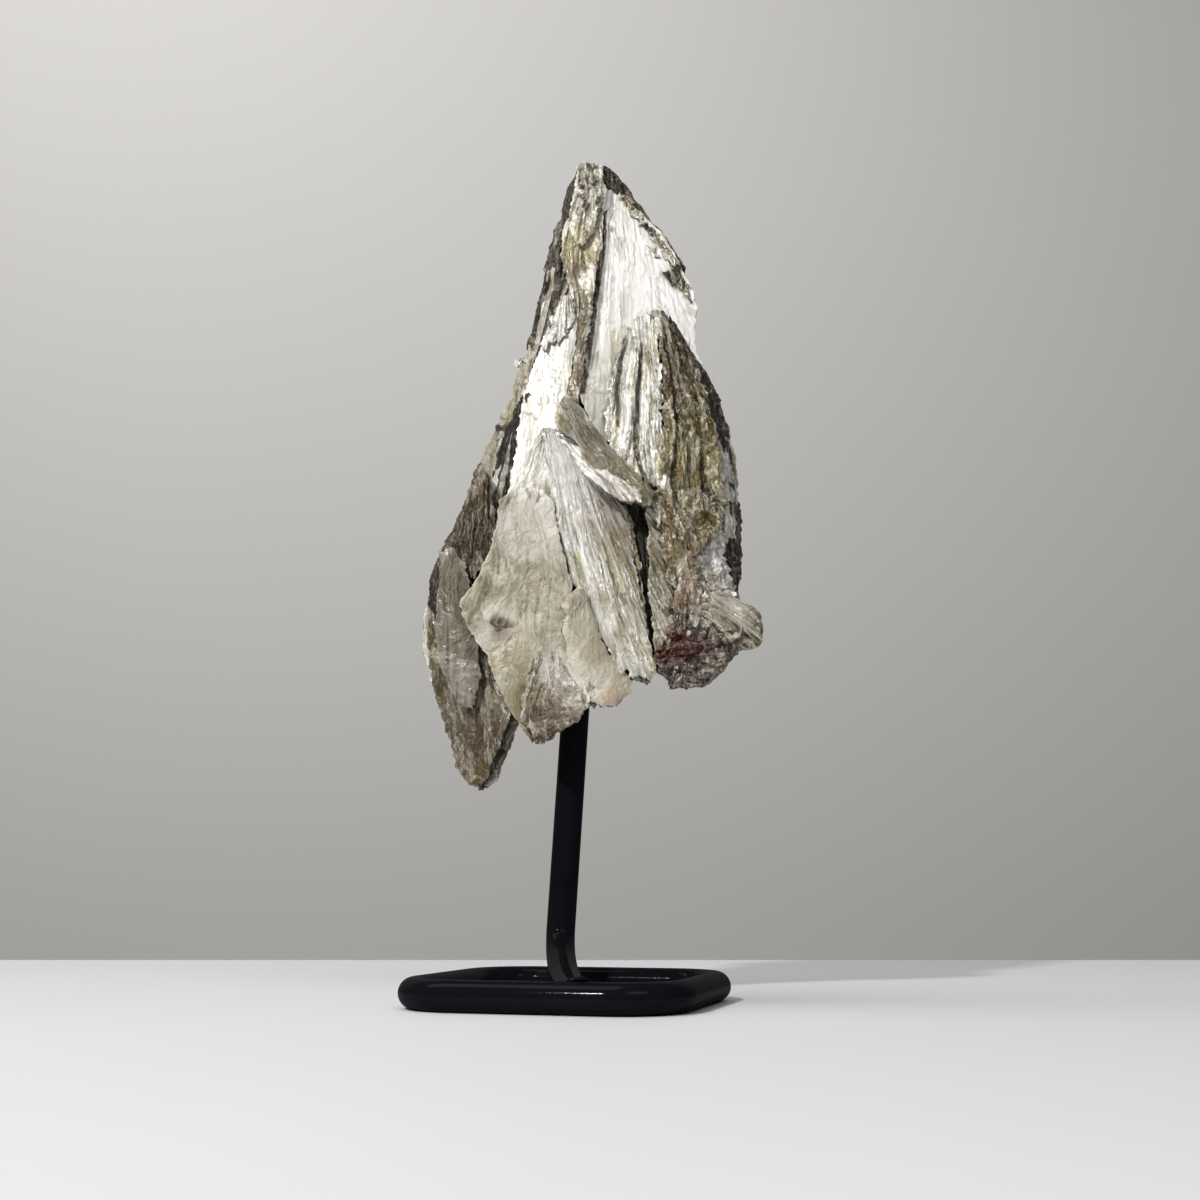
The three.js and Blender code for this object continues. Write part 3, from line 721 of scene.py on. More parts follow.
    # The sheets behind, each a step in or out from the one before it.
    current, reached = rim_edges, 0.0
    levels = []
    for n in range(sheets):
        level_deep = deep * ((n + 1) / sheets) ** SHEETS_THICKEN
        levels.append((n, level_deep))
        if n < sheets - 1:
            levels.append((n + 1, level_deep + LEVEL_GAP))
    for order, (number, level_deep) in enumerate(levels):
        fresh, current, edge_faces = pushed_rim(sheet, current)
        fresh_set = set(fresh)
        tone = 0.5 + 0.5 * chance(number, 2.5)
        # Painted shade for this ring of edge faces.
        painted_shade = SHADED_EDGE if order % 2 else LIT_EDGE
        final = back and order == len(levels) - 1
        for vert in fresh:
            n = vert[rim_number]
            wander = SHEETS_APART * torn_edge(n * cell, number, 6)
            out = wander * min(number, 1) - taper * level_deep
            if final:
                vert.co = rear_rim[n]
            else:
                vert.co = base[n] + outward[n] * out + inward * level_deep
            vert[tone_shade_and_highlight] = (tone, painted_shade, 1, 1)
        for face in edge_faces:
            face.material_index = rim
            face.smooth = False
            for loop in face.loops:
                down = level_deep if loop.vert in fresh_set else reached
                loop[fibre_map].uv = (down * CENTIMETRES, arc[loop.vert[rim_number]])
        reached = level_deep
    if back:
        rear_verts = set(rear)
        seam = [v for v in sheet.verts
                if len(v.link_faces) < 4 or v[rim_number] >= 0 or v in rear_verts]
        bmesh.ops.remove_doubles(sheet, verts=seam, dist=SEAM_GAP)
    else:
        for face in bmesh.ops.contextual_create(sheet, geom=current)["faces"]:
            face.material_index = finish
            for loop in face.loops:
                spot = loop.vert.co * CENTIMETRES
                loop[fibre_map].uv = (spot.x, spot.z)
    add_to_stone(stone, sheet, side)


def add_to_stone(stone, form, side=0):
    """Put a finished form, made in mm as seen from one side, in its place in the stone."""
    bmesh.ops.recalc_face_normals(form, faces=form.faces)
    swing = Matrix.Rotation(math.radians(side), 4, "Z")
    bmesh.ops.transform(form, matrix=stone_place @ swing, verts=form.verts)
    part = bpy.data.meshes.new("part")
    form.to_mesh(part)
    form.free()
    stone.from_mesh(part)
    bpy.data.meshes.remove(part)


CHIP_CORNERS = 7


def mica_chips(stone, seed, count, corners, finish, size, thick, spill, slim=(0.45, 0.85),
               grain=(0, 180)):
    """Small flakes and grains grown on the stone, strewn over a patch that is given by its four
    corners, [across, height, proud].  spill is how far they lean, and grain the range of their
    direction, from across."""
    dice = random.Random(seed)
    chips = bmesh.new()
    tone_shade_and_highlight = chips.verts.layers.float_color.new("tone_shade_and_highlight")
    chips.verts.layers.int.new("rim_number")
    fibre_map = chips.loops.layers.uv.new("fibre")
    patch = [Vector((a, -w, h)) for a, h, w in corners]
    facing = (patch[1] - patch[0]).cross(patch[3] - patch[0]).normalized()
    lie = Vector((0, 0, 1)).rotation_difference(facing).to_matrix()
    for n in range(count):
        s, t = dice.random(), dice.random()
        spot = patch[0].lerp(patch[1], s).lerp(patch[3].lerp(patch[2], s), t)
        turns = [math.radians(dice.uniform(-spill, spill)) for _ in range(2)]
        lay = lie @ Euler((*turns, math.radians(dice.uniform(*grain)))).to_matrix()
        long, tall = dice.uniform(*size), dice.uniform(*thick)
        wide = long * dice.uniform(*slim)
        shade = (dice.uniform(0, 1), dice.choice((0.05, 0.1, 0.3, 1.0)), 0.3, 1)
        corner_verts = []
        for k in range(CHIP_CORNERS):
            angle = (k + dice.uniform(-0.3, 0.3)) * math.tau / CHIP_CORNERS
            reach = dice.uniform(0.75, 1.0) / 2
            for face_side in (-1, 1):
                point = Vector((math.cos(angle) * long * reach, math.sin(angle) * wide * reach,
                                face_side * tall / 2 * dice.uniform(0.5, 1)))
                corner_verts.append(chips.verts.new(spot + lay @ point))
                corner_verts[-1][tone_shade_and_highlight] = shade
        hull = bmesh.ops.convex_hull(chips, input=corner_verts)
        hidden = set(hull["geom_interior"]) | set(hull["geom_unused"])
        bmesh.ops.delete(chips, geom=list(hidden), context="VERTS")
    for face in chips.faces:
        face.material_index = finish
        for loop in face.loops:
            spot = loop.vert.co * CENTIMETRES
            loop[fibre_map].uv = (spot.x, spot.z + 0.5 * spot.y)
    add_to_stone(stone, chips)


def new_stone():
    """An empty form with the layers that the finishes read."""
    stone = bmesh.new()
    stone.verts.layers.float_color.new("tone_shade_and_highlight")
    stone.verts.layers.int.new("rim_number")
    stone.loops.layers.uv.new("fibre")
    return stone


def stone_piece(name, stone):
    """A region of the stone, crisp along its ledges."""
    return as_object(name, stone, FINISHES, sharp_from=28)


heart = new_stone()
mica_book(heart, 1, (0, 150, 3), 0, 6,
    [(0, 236), (-8, 212), (-15, 182), (-26, 150), (-30, 116), (-18, 92)],
    [(6, 236), (20, 206), (30, 176), (36, 142), (34, 112), (18, 88)], dark_sheet_and_shade, deep=12, cell=1.0,
    swell=1.5, sheets=3)
mica_book(heart, 2, (0, 90, 8), 0, 0,
    [(-26, 116), (-24, 96), (-12, 84)],
    [(22, 118), (22, 102), (10, 84)], dark_sheet_and_shade, deep=8, cell=1.0, swell=1.5, sheets=3)
heart_piece = stone_piece("mica_heart", heart)
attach(heart_piece, "root")
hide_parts("mica_cluster")

# ---- Spine and its left side ----
# The thick book that runs down from the tip, crusted grey on its crown, with a thin dark strip
# of painted shade along its right side, and the steep dark sheets and long grey edges of the
# books that lie against its left side; the darkness of the steep face next to the white blade is
# painted shade.  All are mica books that have grown out of the heart side by side.
olive_leaf = mica_finish("olive_leaf", (0.74, 0.71, 0.61), (0.27, 0.23, 0.135), (0.035, 0.024, 0.011),
    metal=0.35, rough=(0.18, 0.42), share=(0.38, 0.6), weave=0.5, blade=(3, 0.6), tip=1.0, hair=(16, 1.3),
    hair_depth=0.55, ledges=(1.2, 0.4), ledge_depth=0.25, vein=(3.5, 1.2), vein_share=0.45, patch=110,
    rim_shine=0.45,
    # The second patch is painted shade in the hollow at the left of the spine's olive face.
    stains_and_painted_light=[((-2, 219, 9), 12, (0.42, 0.34, 0.11), 0.6), ((-4.5, 212, 9), 12, (0.12, 0.07, 0.03), 0.85),
            ((0, 198, 11), 20, (0.17, 0.135, 0.085), 0.8), ((-2, 182, 12), 26, (0.12, 0.09, 0.055), 0.85),
            ((3, 152, 20), 30, (0.17, 0.14, 0.095), 0.8), ((19, 120, 14), 40, (0.13, 0.1, 0.055), 0.75),
            ((45, 101, 13), 24, (0.17, 0.1, 0.065), 0.5), ((43, 110, 12), 16, (0.86, 0.79, 0.7), 0.7)])
pearl = mica_finish("pearl_sheet", (0.5, 0.47, 0.385), (0.27, 0.24, 0.15), (0.075, 0.052, 0.025),
    metal=0.12, rough=(0.34, 0.58), share=(0.38, 0.64), weave=0.8, blade=(1.6, 0.9), tip=0.3,
    hair=(11, 3.5), hair_depth=0.3, ledges=(0.7, 0.6), steps=12, ledge_depth=0.1, vein=(2.0, 1.4),
    vein_share=0.5, patch=55, painted_shade_strength=0.75, rim_shine=0.6,
    stains_and_painted_light=[((-28, 101, 18.5), 20, (0.8, 0.78, 0.71), 0.6),
            ((-23, 97, 18.5), 16, (0.2, 0.145, 0.07), 0.7),
            ((-24.5, 101.5, 18.5), 9, (0.06, 0.03, 0.013), 0.95),
            ((-16, 131, 18), 26, (0.66, 0.635, 0.57), 0.7),
            ((-16, 149, 15), 26, (0.9, 0.885, 0.84), 0.85), ((-9, 73, 21), 16, (0.1, 0.06, 0.025), 0.85),
            ((-12, 79, 21), 12, (0.09, 0.055, 0.025), 0.8), ((-5, 88, 21), 18, (0.88, 0.86, 0.8), 0.75),
            ((-17, 80, 20), 14, (0.2, 0.14, 0.07), 0.7), ((4, 95, 21), 34, (0.66, 0.61, 0.49), 0.75),
            ((9, 82, 20), 8, (0.52, 0.34, 0.2), 0.5), ((2, 95, 21), 9, (0.28, 0.19, 0.09), 0.6)])
olive_fibre = mica_finish("olive_fibre", (0.84, 0.8, 0.65), (0.18, 0.125, 0.045), (0.013, 0.009, 0.004),
    metal=0.5, rough=(0.14, 0.38), share=(0.36, 0.54), weave=0.4, blade=(6, 1.0), tip=1.8, hair=(20, 2.0),
    hair_depth=0.85, ledges=(2.0, 0.7), ledge_depth=0.35, vein=(5, 1.8), vein_share=0.95, patch=140,
    rim_shine=0.3,
    stains_and_painted_light=[((41, 109, 13), 16, (0.88, 0.84, 0.76), 0.8), ((23, 178, 12), 22, (0.13, 0.08, 0.035), 0.75),
            ((30, 155, 12), 26, (0.25, 0.205, 0.07), 0.5), ((20, 194, 11), 10, (0.9, 0.88, 0.82), 0.8),
            ((26, 126, 15), 18, (0.22, 0.155, 0.08), 0.65),
            ((-34, 138, 8), 40, (0.055, 0.032, 0.016), 0.95),
            ((-30, 127, 10), 26, (0.03, 0.019, 0.011), 0.8),
            ((-33, 66, 9), 26, (0.075, 0.045, 0.02), 0.8), ((-36, 84, 9), 38, (0.085, 0.068, 0.04), 0.8)])
crust = mica_finish("grey_crust", (0.9, 0.88, 0.83), (0.33, 0.29, 0.22), (0.04, 0.03, 0.018), metal=0.2,
    rough=(0.16, 0.46), share=(0.38, 0.6), weave=0.6, blade=(6, 5), tip=2.0, hair=(14, 8), hair_depth=0.8,
    ledges=(2, 1.6), ledge_depth=0.3, vein=(4, 3), vein_share=0.7, patch=260, patch_share=0.35,
    stains_and_painted_light=[((33, 127, 13), 22, (0.95, 0.94, 0.92), 0.6), ((33, 117, 13), 9, (0.12, 0.1, 0.105), 0.7),
            ((33, 112, 14), 14, (0.72, 0.5, 0.28), 0.6), ((38, 109, 14), 20, (0.97, 0.91, 0.83), 0.8),
            ((-10, 80, 20), 44, (0.34, 0.27, 0.155), 0.7), ((-9, 76, 20), 14, (0.14, 0.09, 0.045), 0.7),
            ((-12, 71, 20), 12, (0.085, 0.055, 0.028), 0.8), ((-5, 90, 21), 18, (0.94, 0.92, 0.87), 0.8)])
spine = new_stone()
mica_book(spine, 11, (4, 190, 10.5), -6, 6,
    [(-1.5, 248), (-4, 241.5), (-6, 231), (-7.5, 224), (-7.5, 217), (-5.5, 208), (-4, 200), (-3.5, 190),
     (-4, 182), (-5.5, 171)],
    [(4.5, 248), (5.5, 238), (5, 228), (4.5, 220), (3.2, 211), (2, 202), (1, 192), (0, 184), (-1, 176),
     (-2, 170)], olive_leaf, rim=olive_leaf, deep=12, strip=1.3, rise=0.2, tilt=0.45, step=0.3, swell=1.4,
    crumple=0.35, pleat=0.3, wave=2, cell=0.3)
# A thin dark strip along the spine's right side: painted shade where the spine stands proud of the big
# plate.
mica_book(spine, 10, (3, 200, 8.6), 8, 6,
    [(4.5, 231), (3.5, 220), (2.2, 210), (1, 200), (0, 190), (-1, 180), (-2, 172)],
    [(6, 233), (5.8, 220), (4.4, 210), (3.2, 200), (2, 190), (0.8, 180), (-0.5, 172)], dark_sheet_and_shade, deep=6,
    sheets=3, strip=0.8, rise=0.25, tilt=0.4, crumple=0.3, cell=0.3, ragged=0.5)
mica_book(spine, 12, (-10, 210, 4), -32, 4,
    [(-3, 245), (-6.5, 238), (-8, 231), (-10, 227), (-11, 223), (-12.5, 216), (-14, 208), (-16, 198),
     (-18, 191)],
    [(-2, 240), (-4, 235), (-5, 230), (-7, 224), (-8, 218), (-8, 211), (-8, 203), (-9, 194), (-11, 188)],
    dark_sheet_and_shade, deep=14, strip=1.0, rise=0.3, tilt=0.5, crumple=0.4)
mica_book(spine, 13, (-26, 150, -1), -28, 4,
    [(-12, 214), (-14.5, 205), (-14.5, 198), (-17.5, 192), (-18.5, 186), (-21, 182), (-22.5, 175),
     (-26, 170), (-29.5, 162), (-32.5, 155), (-35.5, 147), (-37.5, 141), (-41, 134), (-43.5, 129)],
    [(-8, 216), (-8, 204), (-10, 196), (-14, 190), (-16, 185), (-18.5, 177), (-21.5, 169), (-25, 162),
     (-27, 154), (-27.5, 150), (-28, 144), (-30, 134), (-33, 125)], pearl, deep=14, strip=1.8, rise=0.25,
    tilt=0.5, step=0.3, pleat=0.35)
# The steep face left of the white blade, dark with painted shade.
mica_book(spine, 14, (-22, 150, 6), -52, 4,
    [(-18.5, 173), (-23, 166), (-26, 160), (-27.5, 153), (-29, 146), (-28.5, 139)],
    [(-17, 173), (-18.5, 166), (-19.5, 160), (-21, 154), (-22, 148), (-23, 143), (-27, 137)], dark_sheet_and_shade,
    deep=12, strip=1.0, rise=0.2, tilt=0.5)
mica_book(spine, 15, (-30, 132, 9), -14, 6,
    [(-31.5, 153), (-34, 145), (-36, 138), (-40, 131), (-42.5, 126)],
    [(-28, 148), (-27, 141), (-26, 132), (-27, 124), (-32, 117)], olive_fibre, deep=12, strip=1.2,
    rise=0.3, tilt=0.6, pleat=0.5, crumple=0.4, tip=2, cell=0.3)
mica_book(spine, 16, (4, 235, 7.4), -6, 6,
    [(-1.5, 248), (-3, 241.5), (-4.5, 235), (-5.5, 229), (-3.5, 221)],
    [(3, 248), (4.5, 240), (4.5, 233), (2.5, 227), (0.5, 220)], olive_leaf, rim=olive_leaf, deep=3,
    strip=1.2, rise=0.3, tilt=0.5, crumple=0.7, wave=3, cell=0.3, sheets=3, ragged=1.2, tip=2.5)
mica_chips(spine, 17, 26,
    [(-2.5, 247, 6.6), (4, 247, 6.6), (4, 229, 9), (-4.5, 229, 9)], crust, size=(1.4, 3.4),
    thick=(0.5, 1.3), spill=40, grain=(60, 120))
mica_chips(spine, 18, 9,
    [(-21, 187, -1), (-17.5, 187, 0), (-17.5, 179, 0), (-20.5, 179, -1)], crust, size=(2.2, 4.5),
    thick=(0.8, 1.8), spill=40, grain=(60, 120))
mica_chips(spine, 19, 7,
    [(-27, 167, -1), (-24.5, 167, 0), (-24.5, 160, 0), (-27, 160, -1)], crust, size=(1.8, 3.6),
    thick=(0.8, 1.6), spill=40, grain=(60, 120))
spine_piece = stone_piece("mica_spine", spine)
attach(spine_piece, "root")
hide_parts("mica_cluster")

# ---- Broad silver plates ----
# The big bright plate right of the spine, the white blade left of it, and the torn dark flakes
# along the big plate's upper edge.  Clean mica, split along its sheets and grown to the heart.
# Its near-white colour is partly painted glare: it stands in for the lamp's reflection that whitens the big
# plate and the white blade.
silver_and_glare = mica_finish("silver_and_glare_sheet", (0.98, 0.975, 0.96), (0.93, 0.91, 0.84), (0.42, 0.385, 0.29),
    metal=0.2, rough=(0.24, 0.48), weave=0.15, blade=(2.2, 0.25), tip=0.08, hair=(18, 0.8),
    hair_depth=0.12, ledges=(1.6, 0.35), ledge_depth=0.05, patch=45, painted_shade_strength=0.6,
    stains_and_painted_light=[((8, 188, 8), 16, (0.62, 0.56, 0.38), 0.6), ((6, 172, 9), 16, (0.58, 0.52, 0.34), 0.6),
            ((11, 232, 3), 22, (0.46, 0.45, 0.4), 0.55), ((28, 214, 0), 10, (0.42, 0.42, 0.22), 0.75),
            ((-12, 172, 14), 70, (0.28, 0.265, 0.22), 0.8), ((6, 144, 20), 24, (0.6, 0.58, 0.52), 0.7)])
silver_fibre = mica_finish("silver_fibre", (0.98, 0.97, 0.92), (0.52, 0.47, 0.3), (0.055, 0.042, 0.02),
    metal=0.55, rough=(0.14, 0.36), share=(0.42, 0.62), weave=0.25, blade=(8, 0.6), tip=1.3,
    hair=(22, 1.0), hair_depth=0.7, ledges=(2.0, 0.4), ledge_depth=0.25, vein=(5, 1.0), vein_share=0.8,
    patch=70,
    # The first patch is a painted highlight down the fan's upper left side; the third and fourth are
    # painted shade, in olive brown, on the fan's right side.
    stains_and_painted_light=[((-5, 142, 18), 34, (0.98, 0.97, 0.94), 0.8), ((18, 192, 12), 12, (0.95, 0.93, 0.88), 0.8),
            ((13, 131, 16), 32, (0.2, 0.14, 0.06), 0.8), ((14, 104, 17), 34, (0.33, 0.28, 0.14), 0.6)])
plates = new_stone()
mica_book(plates, 21, (12, 190, 6), 14, 6,
    [(4, 240), (3.5, 228), (3, 221), (2, 211), (1, 201), (0, 191), (-1.5, 181), (-2, 172), (0, 166),
     (4, 158)],
    [(9, 241), (16.5, 234), (23, 228), (28.5, 218), (32.5, 209), (33.5, 204), (32.5, 196), (33, 189),
     (35, 184), (34, 176), (30, 166), (24, 158)], silver_and_glare, rim=silver_fibre, fan=(8, 285), deep=9,
    strip=2.2, rise=0.03, tilt=0.07, fine=0.03, step=0.14, swell=0.8, crumple=0.06, ragged=0.6)
mica_book(plates, 22, (-12, 150, 13), -11, 6,
    [(-7.5, 202), (-10, 196), (-12, 190), (-15, 184), (-17.5, 176), (-19, 169), (-20, 162), (-20.5, 154),
     (-22, 145)],
    [(-4.5, 202), (-3, 196), (-3, 188), (-4.5, 180), (-6, 171), (-7, 163), (-8, 155), (-11, 147),
     (-16, 142)], silver_and_glare, deep=9, strip=2.0, rise=0.03, tilt=0.06, fine=0.03, step=0.14, swell=0.6,
    crumple=0.06)
mica_book(plates, 23, (12, 240, 0), 20, 6,
    [(4.5, 248), (8, 240), (16.5, 232), (23, 224), (28, 214), (29, 206)],
    [(5.5, 249), (9, 247), (13.5, 241), (20, 232), (25.5, 226), (30.5, 218)], dark_sheet_and_shade, deep=8,
    strip=1.2, rise=0.4, tilt=0.6, ragged=0.8, crumple=0.4)
# The flakes' upper corners, [across, height], with their lengths and widths.
TORN_FLAKES = [(12, 239, 4, 2.4), (15.5, 235, 6, 2.0), (19, 231, 5, 2.6), (22.5, 227, 7, 2.4),
               (25.5, 222, 6, 2.8), (28, 217, 7, 2.2), (30, 211, 5, 1.8), (21, 223, 4, 1.6),
               (25, 215, 4, 1.6)]
for n, (across, height, long, wide) in enumerate(TORN_FLAKES):
    low = height - long
    mica_book(plates, 240 + n, (12, 190, 6.45), 14, 6,
              [(across - wide, height - 0.5), (across - 0.3 * wide, low + 0.4 * long), (across + 1.2, low)],
              [(across, height), (across + 0.8 * wide, low + 0.5 * long), (across + 1.5 + 0.5 * wide, low)],
              (olive_fibre, olive_leaf, dark_sheet_and_shade)[n % 3], deep=0.5, cell=0.3, sheets=2, strip=0.8,
              rise=0.1, tilt=0.3, crumple=0.3, ragged=2.2, tip=2.5)
mica_book(plates, 26, (-12, 150, 13.8), -11, 6,
    [(-7.5, 203), (-9, 199), (-10.5, 195), (-12.5, 191), (-13.5, 187)],
    [(-4.5, 203), (-3, 197), (-3.5, 193), (-6, 190), (-9, 188)], silver_fibre, rim=silver_fibre, deep=1,
    cell=0.3, sheets=2, strip=0.9, rise=0.2, tilt=0.6, crumple=0.6, pleat=0.5, ragged=1.2, tip=3)
mica_chips(plates, 25, 16,
    [(-10, 200, 9.2), (-3, 200, 8.2), (-4, 190, 9.4), (-13, 190, 10.2)], silver_fibre, size=(1.0, 3.4),
    thick=(0.15, 0.3), spill=16, slim=(0.2, 0.5), grain=(60, 110))
plates_piece = stone_piece("mica_silver_plates", plates)
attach(plates_piece, "root")
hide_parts("mica_cluster")

# ---- Folded book ----
# The fibrous book on the right, folded lengthwise in slats: silver on the left, olive brown
# towards the right, with a dark torn edge along its outer side.  It has grown to the big plate.
folded = new_stone()
mica_book(folded, 31, (16, 170, 13), -8, 5,
    [(15, 196), (11, 190), (8, 183), (7, 176), (6.5, 168), (5.5, 159), (9, 150)],
    [(19, 197), (21, 187), (22, 176), (22, 165), (22.5, 153), (24.5, 140)], silver_fibre,
    rim=silver_fibre, deep=11, strip=0.9, rise=0.15, tilt=0.4, fine=0.15, sway=0.8, cell=0.3, wave=2.5,
    pleat=0.7, crumple=0.35, ragged=1.4,
    folds=[(0.12, 0.2, 0.15, 0.75, 0.7, 0.6), (0.58, 0.5, 0.1, 1.1, 1.7, 0.7)])
mica_book(folded, 34, (27, 160, 12.5), 20, 5,
    [(18.5, 198), (21, 186), (22, 174), (22, 162), (21, 150), (20, 141), (22, 132), (29, 124)],
    [(22, 197.5), (30, 184), (35, 172), (38, 160), (40, 150), (40.5, 140), (38, 131), (34, 125)],
    olive_fibre, rim=olive_fibre, fan=(12, 236), deep=14, strip=0.8, rise=0.25, tilt=0.5, fine=0.15,
    sway=0.9, cell=0.3, wave=4, pleat=0.6, crumple=1.4, ragged=1.2, tip=4,
    folds=[(0.2, 0.25, 0.1, 0.8, 1.0, 0.7), (0.75, 0.6, 0.0, 0.8, 0.9, 0.7)])
mica_book(folded, 35, (33, 170, 8.5), 42, 5,
    [(22, 196), (30.5, 183), (35, 172), (38, 163), (39, 156)],
    [(25, 194), (35, 181), (39, 174), (42, 166), (43.5, 155)], dark_sheet_and_shade, rim=silver_fibre, deep=10,
    strip=0.8, rise=0.3, tilt=0.5, sway=1.2, ragged=0.9, wave=3, crumple=0.5, cell=0.3, tip=5)
mica_book(folded, 38, (33, 170, 8.2), 42, 5,
    [(38, 164), (39.5, 154), (39.5, 146), (40, 138), (40, 131)],
    [(42.5, 166), (43.8, 157), (44.6, 149), (44.6, 139), (43.5, 131)], silver_fibre, rim=olive_fibre,
    deep=8, strip=0.8, rise=0.25, tilt=0.5, sway=1.2, wave=3, crumple=0.5, cell=0.3, tip=3)
mica_chips(folded, 36, 1,
    [(26.5, 147, 14.6), (27, 147, 14.6), (27, 146, 14.6), (26.5, 146, 14.6)], dark_sheet_and_shade, size=(4.6, 4.8),
    thick=(0.8, 1.0), spill=8)
mica_chips(folded, 37, 36,
    [(17, 156, 13.2), (36, 156, 10), (38, 132, 10.5), (22, 132, 14)], silver_fibre, size=(1.4, 4.0),
    thick=(0.15, 0.4), spill=30, slim=(0.2, 0.5), grain=(60, 120))
mica_chips(folded, 32, 60,
    [(23, 186, 11.5), (33, 180, 9), (41, 150, 8.5), (24, 140, 14.5)], olive_fibre, size=(2.0, 6.5),
    thick=(0.2, 0.6), spill=30, slim=(0.15, 0.45), grain=(50, 130))
mica_chips(folded, 39, 26,
    [(19, 182, 11), (31, 180, 9), (38, 160, 9.5), (24, 160, 13)], silver_fibre, size=(1.6, 4.6),
    thick=(0.12, 0.3), spill=24, slim=(0.12, 0.35), grain=(50, 125))
mica_chips(folded, 33, 60,
    [(25, 192, 9.5), (32, 188, 7.5), (42.5, 160, 1.5), (36, 160, 7)], silver_fibre, size=(1.2, 3.6),
    thick=(0.1, 0.25), spill=25, slim=(0.1, 0.28), grain=(60, 150))
folded_piece = stone_piece("mica_folded_book", folded)
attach(folded_piece, "root")
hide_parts("mica_cluster")

# ---- Front fan ----
# The pearly front plate with the lumpy sheet on its lower end, the bright ridged fan beside it,
# the scalloped leaf at the fan's foot, and the leaf that crosses above them.  All are mica,
# rooted behind the white blade.
front_fan = new_stone()
mica_book(front_fan, 41, (-19, 100, 18), -5, 1,
    [(-20, 142.5), (-24.8, 138.5), (-25, 133), (-27, 125), (-30, 117), (-32.5, 113), (-35.5, 109),
     (-35, 106), (-33, 102), (-30, 98), (-27.5, 94), (-26, 89), (-23, 83), (-20, 77), (-15, 71)],
    [(-12.5, 141.5), (-9, 138), (-8.5, 133), (-7, 126), (-5.5, 119), (-3.5, 114), (-5, 109), (-5, 102),
     (-3, 95), (-1, 88), (1.5, 81), (-2, 76), (-6.5, 73), (-10, 70)], pearl, fan=(-13, 190), deep=8,
    strip=3, rise=0.02, tilt=0.03, fine=0.03, step=0.16, swell=1.8, crumple=0.1, wave=4, tip=2.4,
    cell=0.35)
mica_book(front_fan, 42, (-8, 80, 20), 2, 7,
    [(-11, 97), (-14.5, 93), (-16.5, 86), (-18, 79), (-17.5, 75), (-13, 71)],
    [(-7, 93), (-4, 88), (-1.5, 84), (1.5, 80), (-2, 76), (-6.5, 73), (-10, 70)], crust, rim=pearl,
    deep=4, strip=1.4, rise=0.3, tilt=0.5, swell=1.8, crumple=1.0, wave=3, tip=2.2, sheets=4, cell=0.3,
    ragged=1.2)
mica_book(front_fan, 43, (-14, 145, 15), -8, 10,
    [(-13, 161), (-16, 155), (-20.5, 147), (-23, 139)],
    [(-7, 161), (-8, 152), (-9, 145), (-9.5, 138)], pearl, rim=silver_fibre, deep=10, strip=1.0, rise=0.2,
    tilt=0.5, crumple=0.5, pleat=0.4, wave=1.5, cell=0.3)
mica_book(front_fan, 44, (-6, 150, 17.5), -6, -0.6,
    [(-12, 159), (-11.5, 150), (-9.5, 139), (-8, 132), (-6.5, 123), (-4.5, 116), (-1.5, 112), (1, 106),
     (3.5, 101), (7.5, 94), (10, 88)],
    [(-8, 159), (-5, 150), (-2, 140), (1, 130), (4, 120), (7, 110), (10, 101), (13, 92)], silver_fibre,
    rim=silver_fibre, deep=9, strip=1.1, rise=0.15, tilt=0.45, pleat=0.45, cell=0.3, fan=(-14, 176))
mica_book(front_fan, 45, (-6, 150, 17.4), 14, 6,
    [(-8.5, 159), (-6, 148), (-4, 140), (-1, 130), (2, 120), (5, 110), (8, 101), (11, 92), (12, 87)],
    [(-6.5, 158), (-4, 153), (1, 147), (7, 142), (11.5, 136), (13, 129), (14, 121), (15.5, 111),
     (17.5, 99), (19.5, 92), (19, 87.5)], silver_fibre, rim=silver_fibre, deep=12, strip=0.9, rise=0.15,
    tilt=0.45, fine=0.15, pleat=0.4, cell=0.3, fan=(-12, 176), taper=0.35, tip=1.6)
mica_book(front_fan, 46, (-4, 80, 19.5), 8, -1,
    [(-2.5, 113), (-5.5, 110), (-6.5, 107), (-5.2, 105), (-6, 103), (-6, 98), (-4.5, 93), (-2.5, 88),
     (-1.5, 84), (1.5, 80)],
    [(0, 111), (2.5, 105), (4.5, 98), (7.5, 92.5), (11, 89.5), (13, 86.5), (12, 83), (9.5, 80.5)], pearl,
    deep=4, strip=3, rise=0.08, tilt=0.15, fine=0.04, swell=1.0, crumple=0.25, crown=0.8, sheets=3,
    cell=0.3)
mica_book(front_fan, 47, (0, 150, 21), 16, 8,
    [(-6.5, 168.5), (-8.5, 165), (-9, 160), (-7.5, 157.5), (-3, 155), (-1, 150), (2, 146.5), (7, 142),
     (14, 137.5), (18, 136.5)],
    [(-4.5, 168.5), (-1, 165), (3, 159), (7.5, 153.5), (12.5, 148), (19.5, 141)], olive_leaf,
    fan=(-22, 188), deep=5, strip=1.4, rise=0.15, tilt=0.4, crown=0.9, swell=1.2, crumple=0.3, pleat=0.3,
    sheets=4, cell=0.3)
mica_book(front_fan, 48, (0, 150, 20), 10, 22,
    [(-8, 158), (-5, 153), (-1.5, 147), (1, 143.5), (5.5, 139.5), (9.5, 137), (15.5, 136)],
    [(-4, 159), (-0.5, 153), (4, 147.5), (9.5, 144), (15.5, 140)], silver_fibre, rim=silver_fibre,
    fan=(-22, 178), deep=3, strip=0.9, rise=0.15, tilt=0.45, crumple=0.4, wave=1.5, ragged=1.2, sheets=3,
    cell=0.3)
fan_piece = stone_piece("mica_front_fan", front_fan)
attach(fan_piece, "root")
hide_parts("mica_cluster")

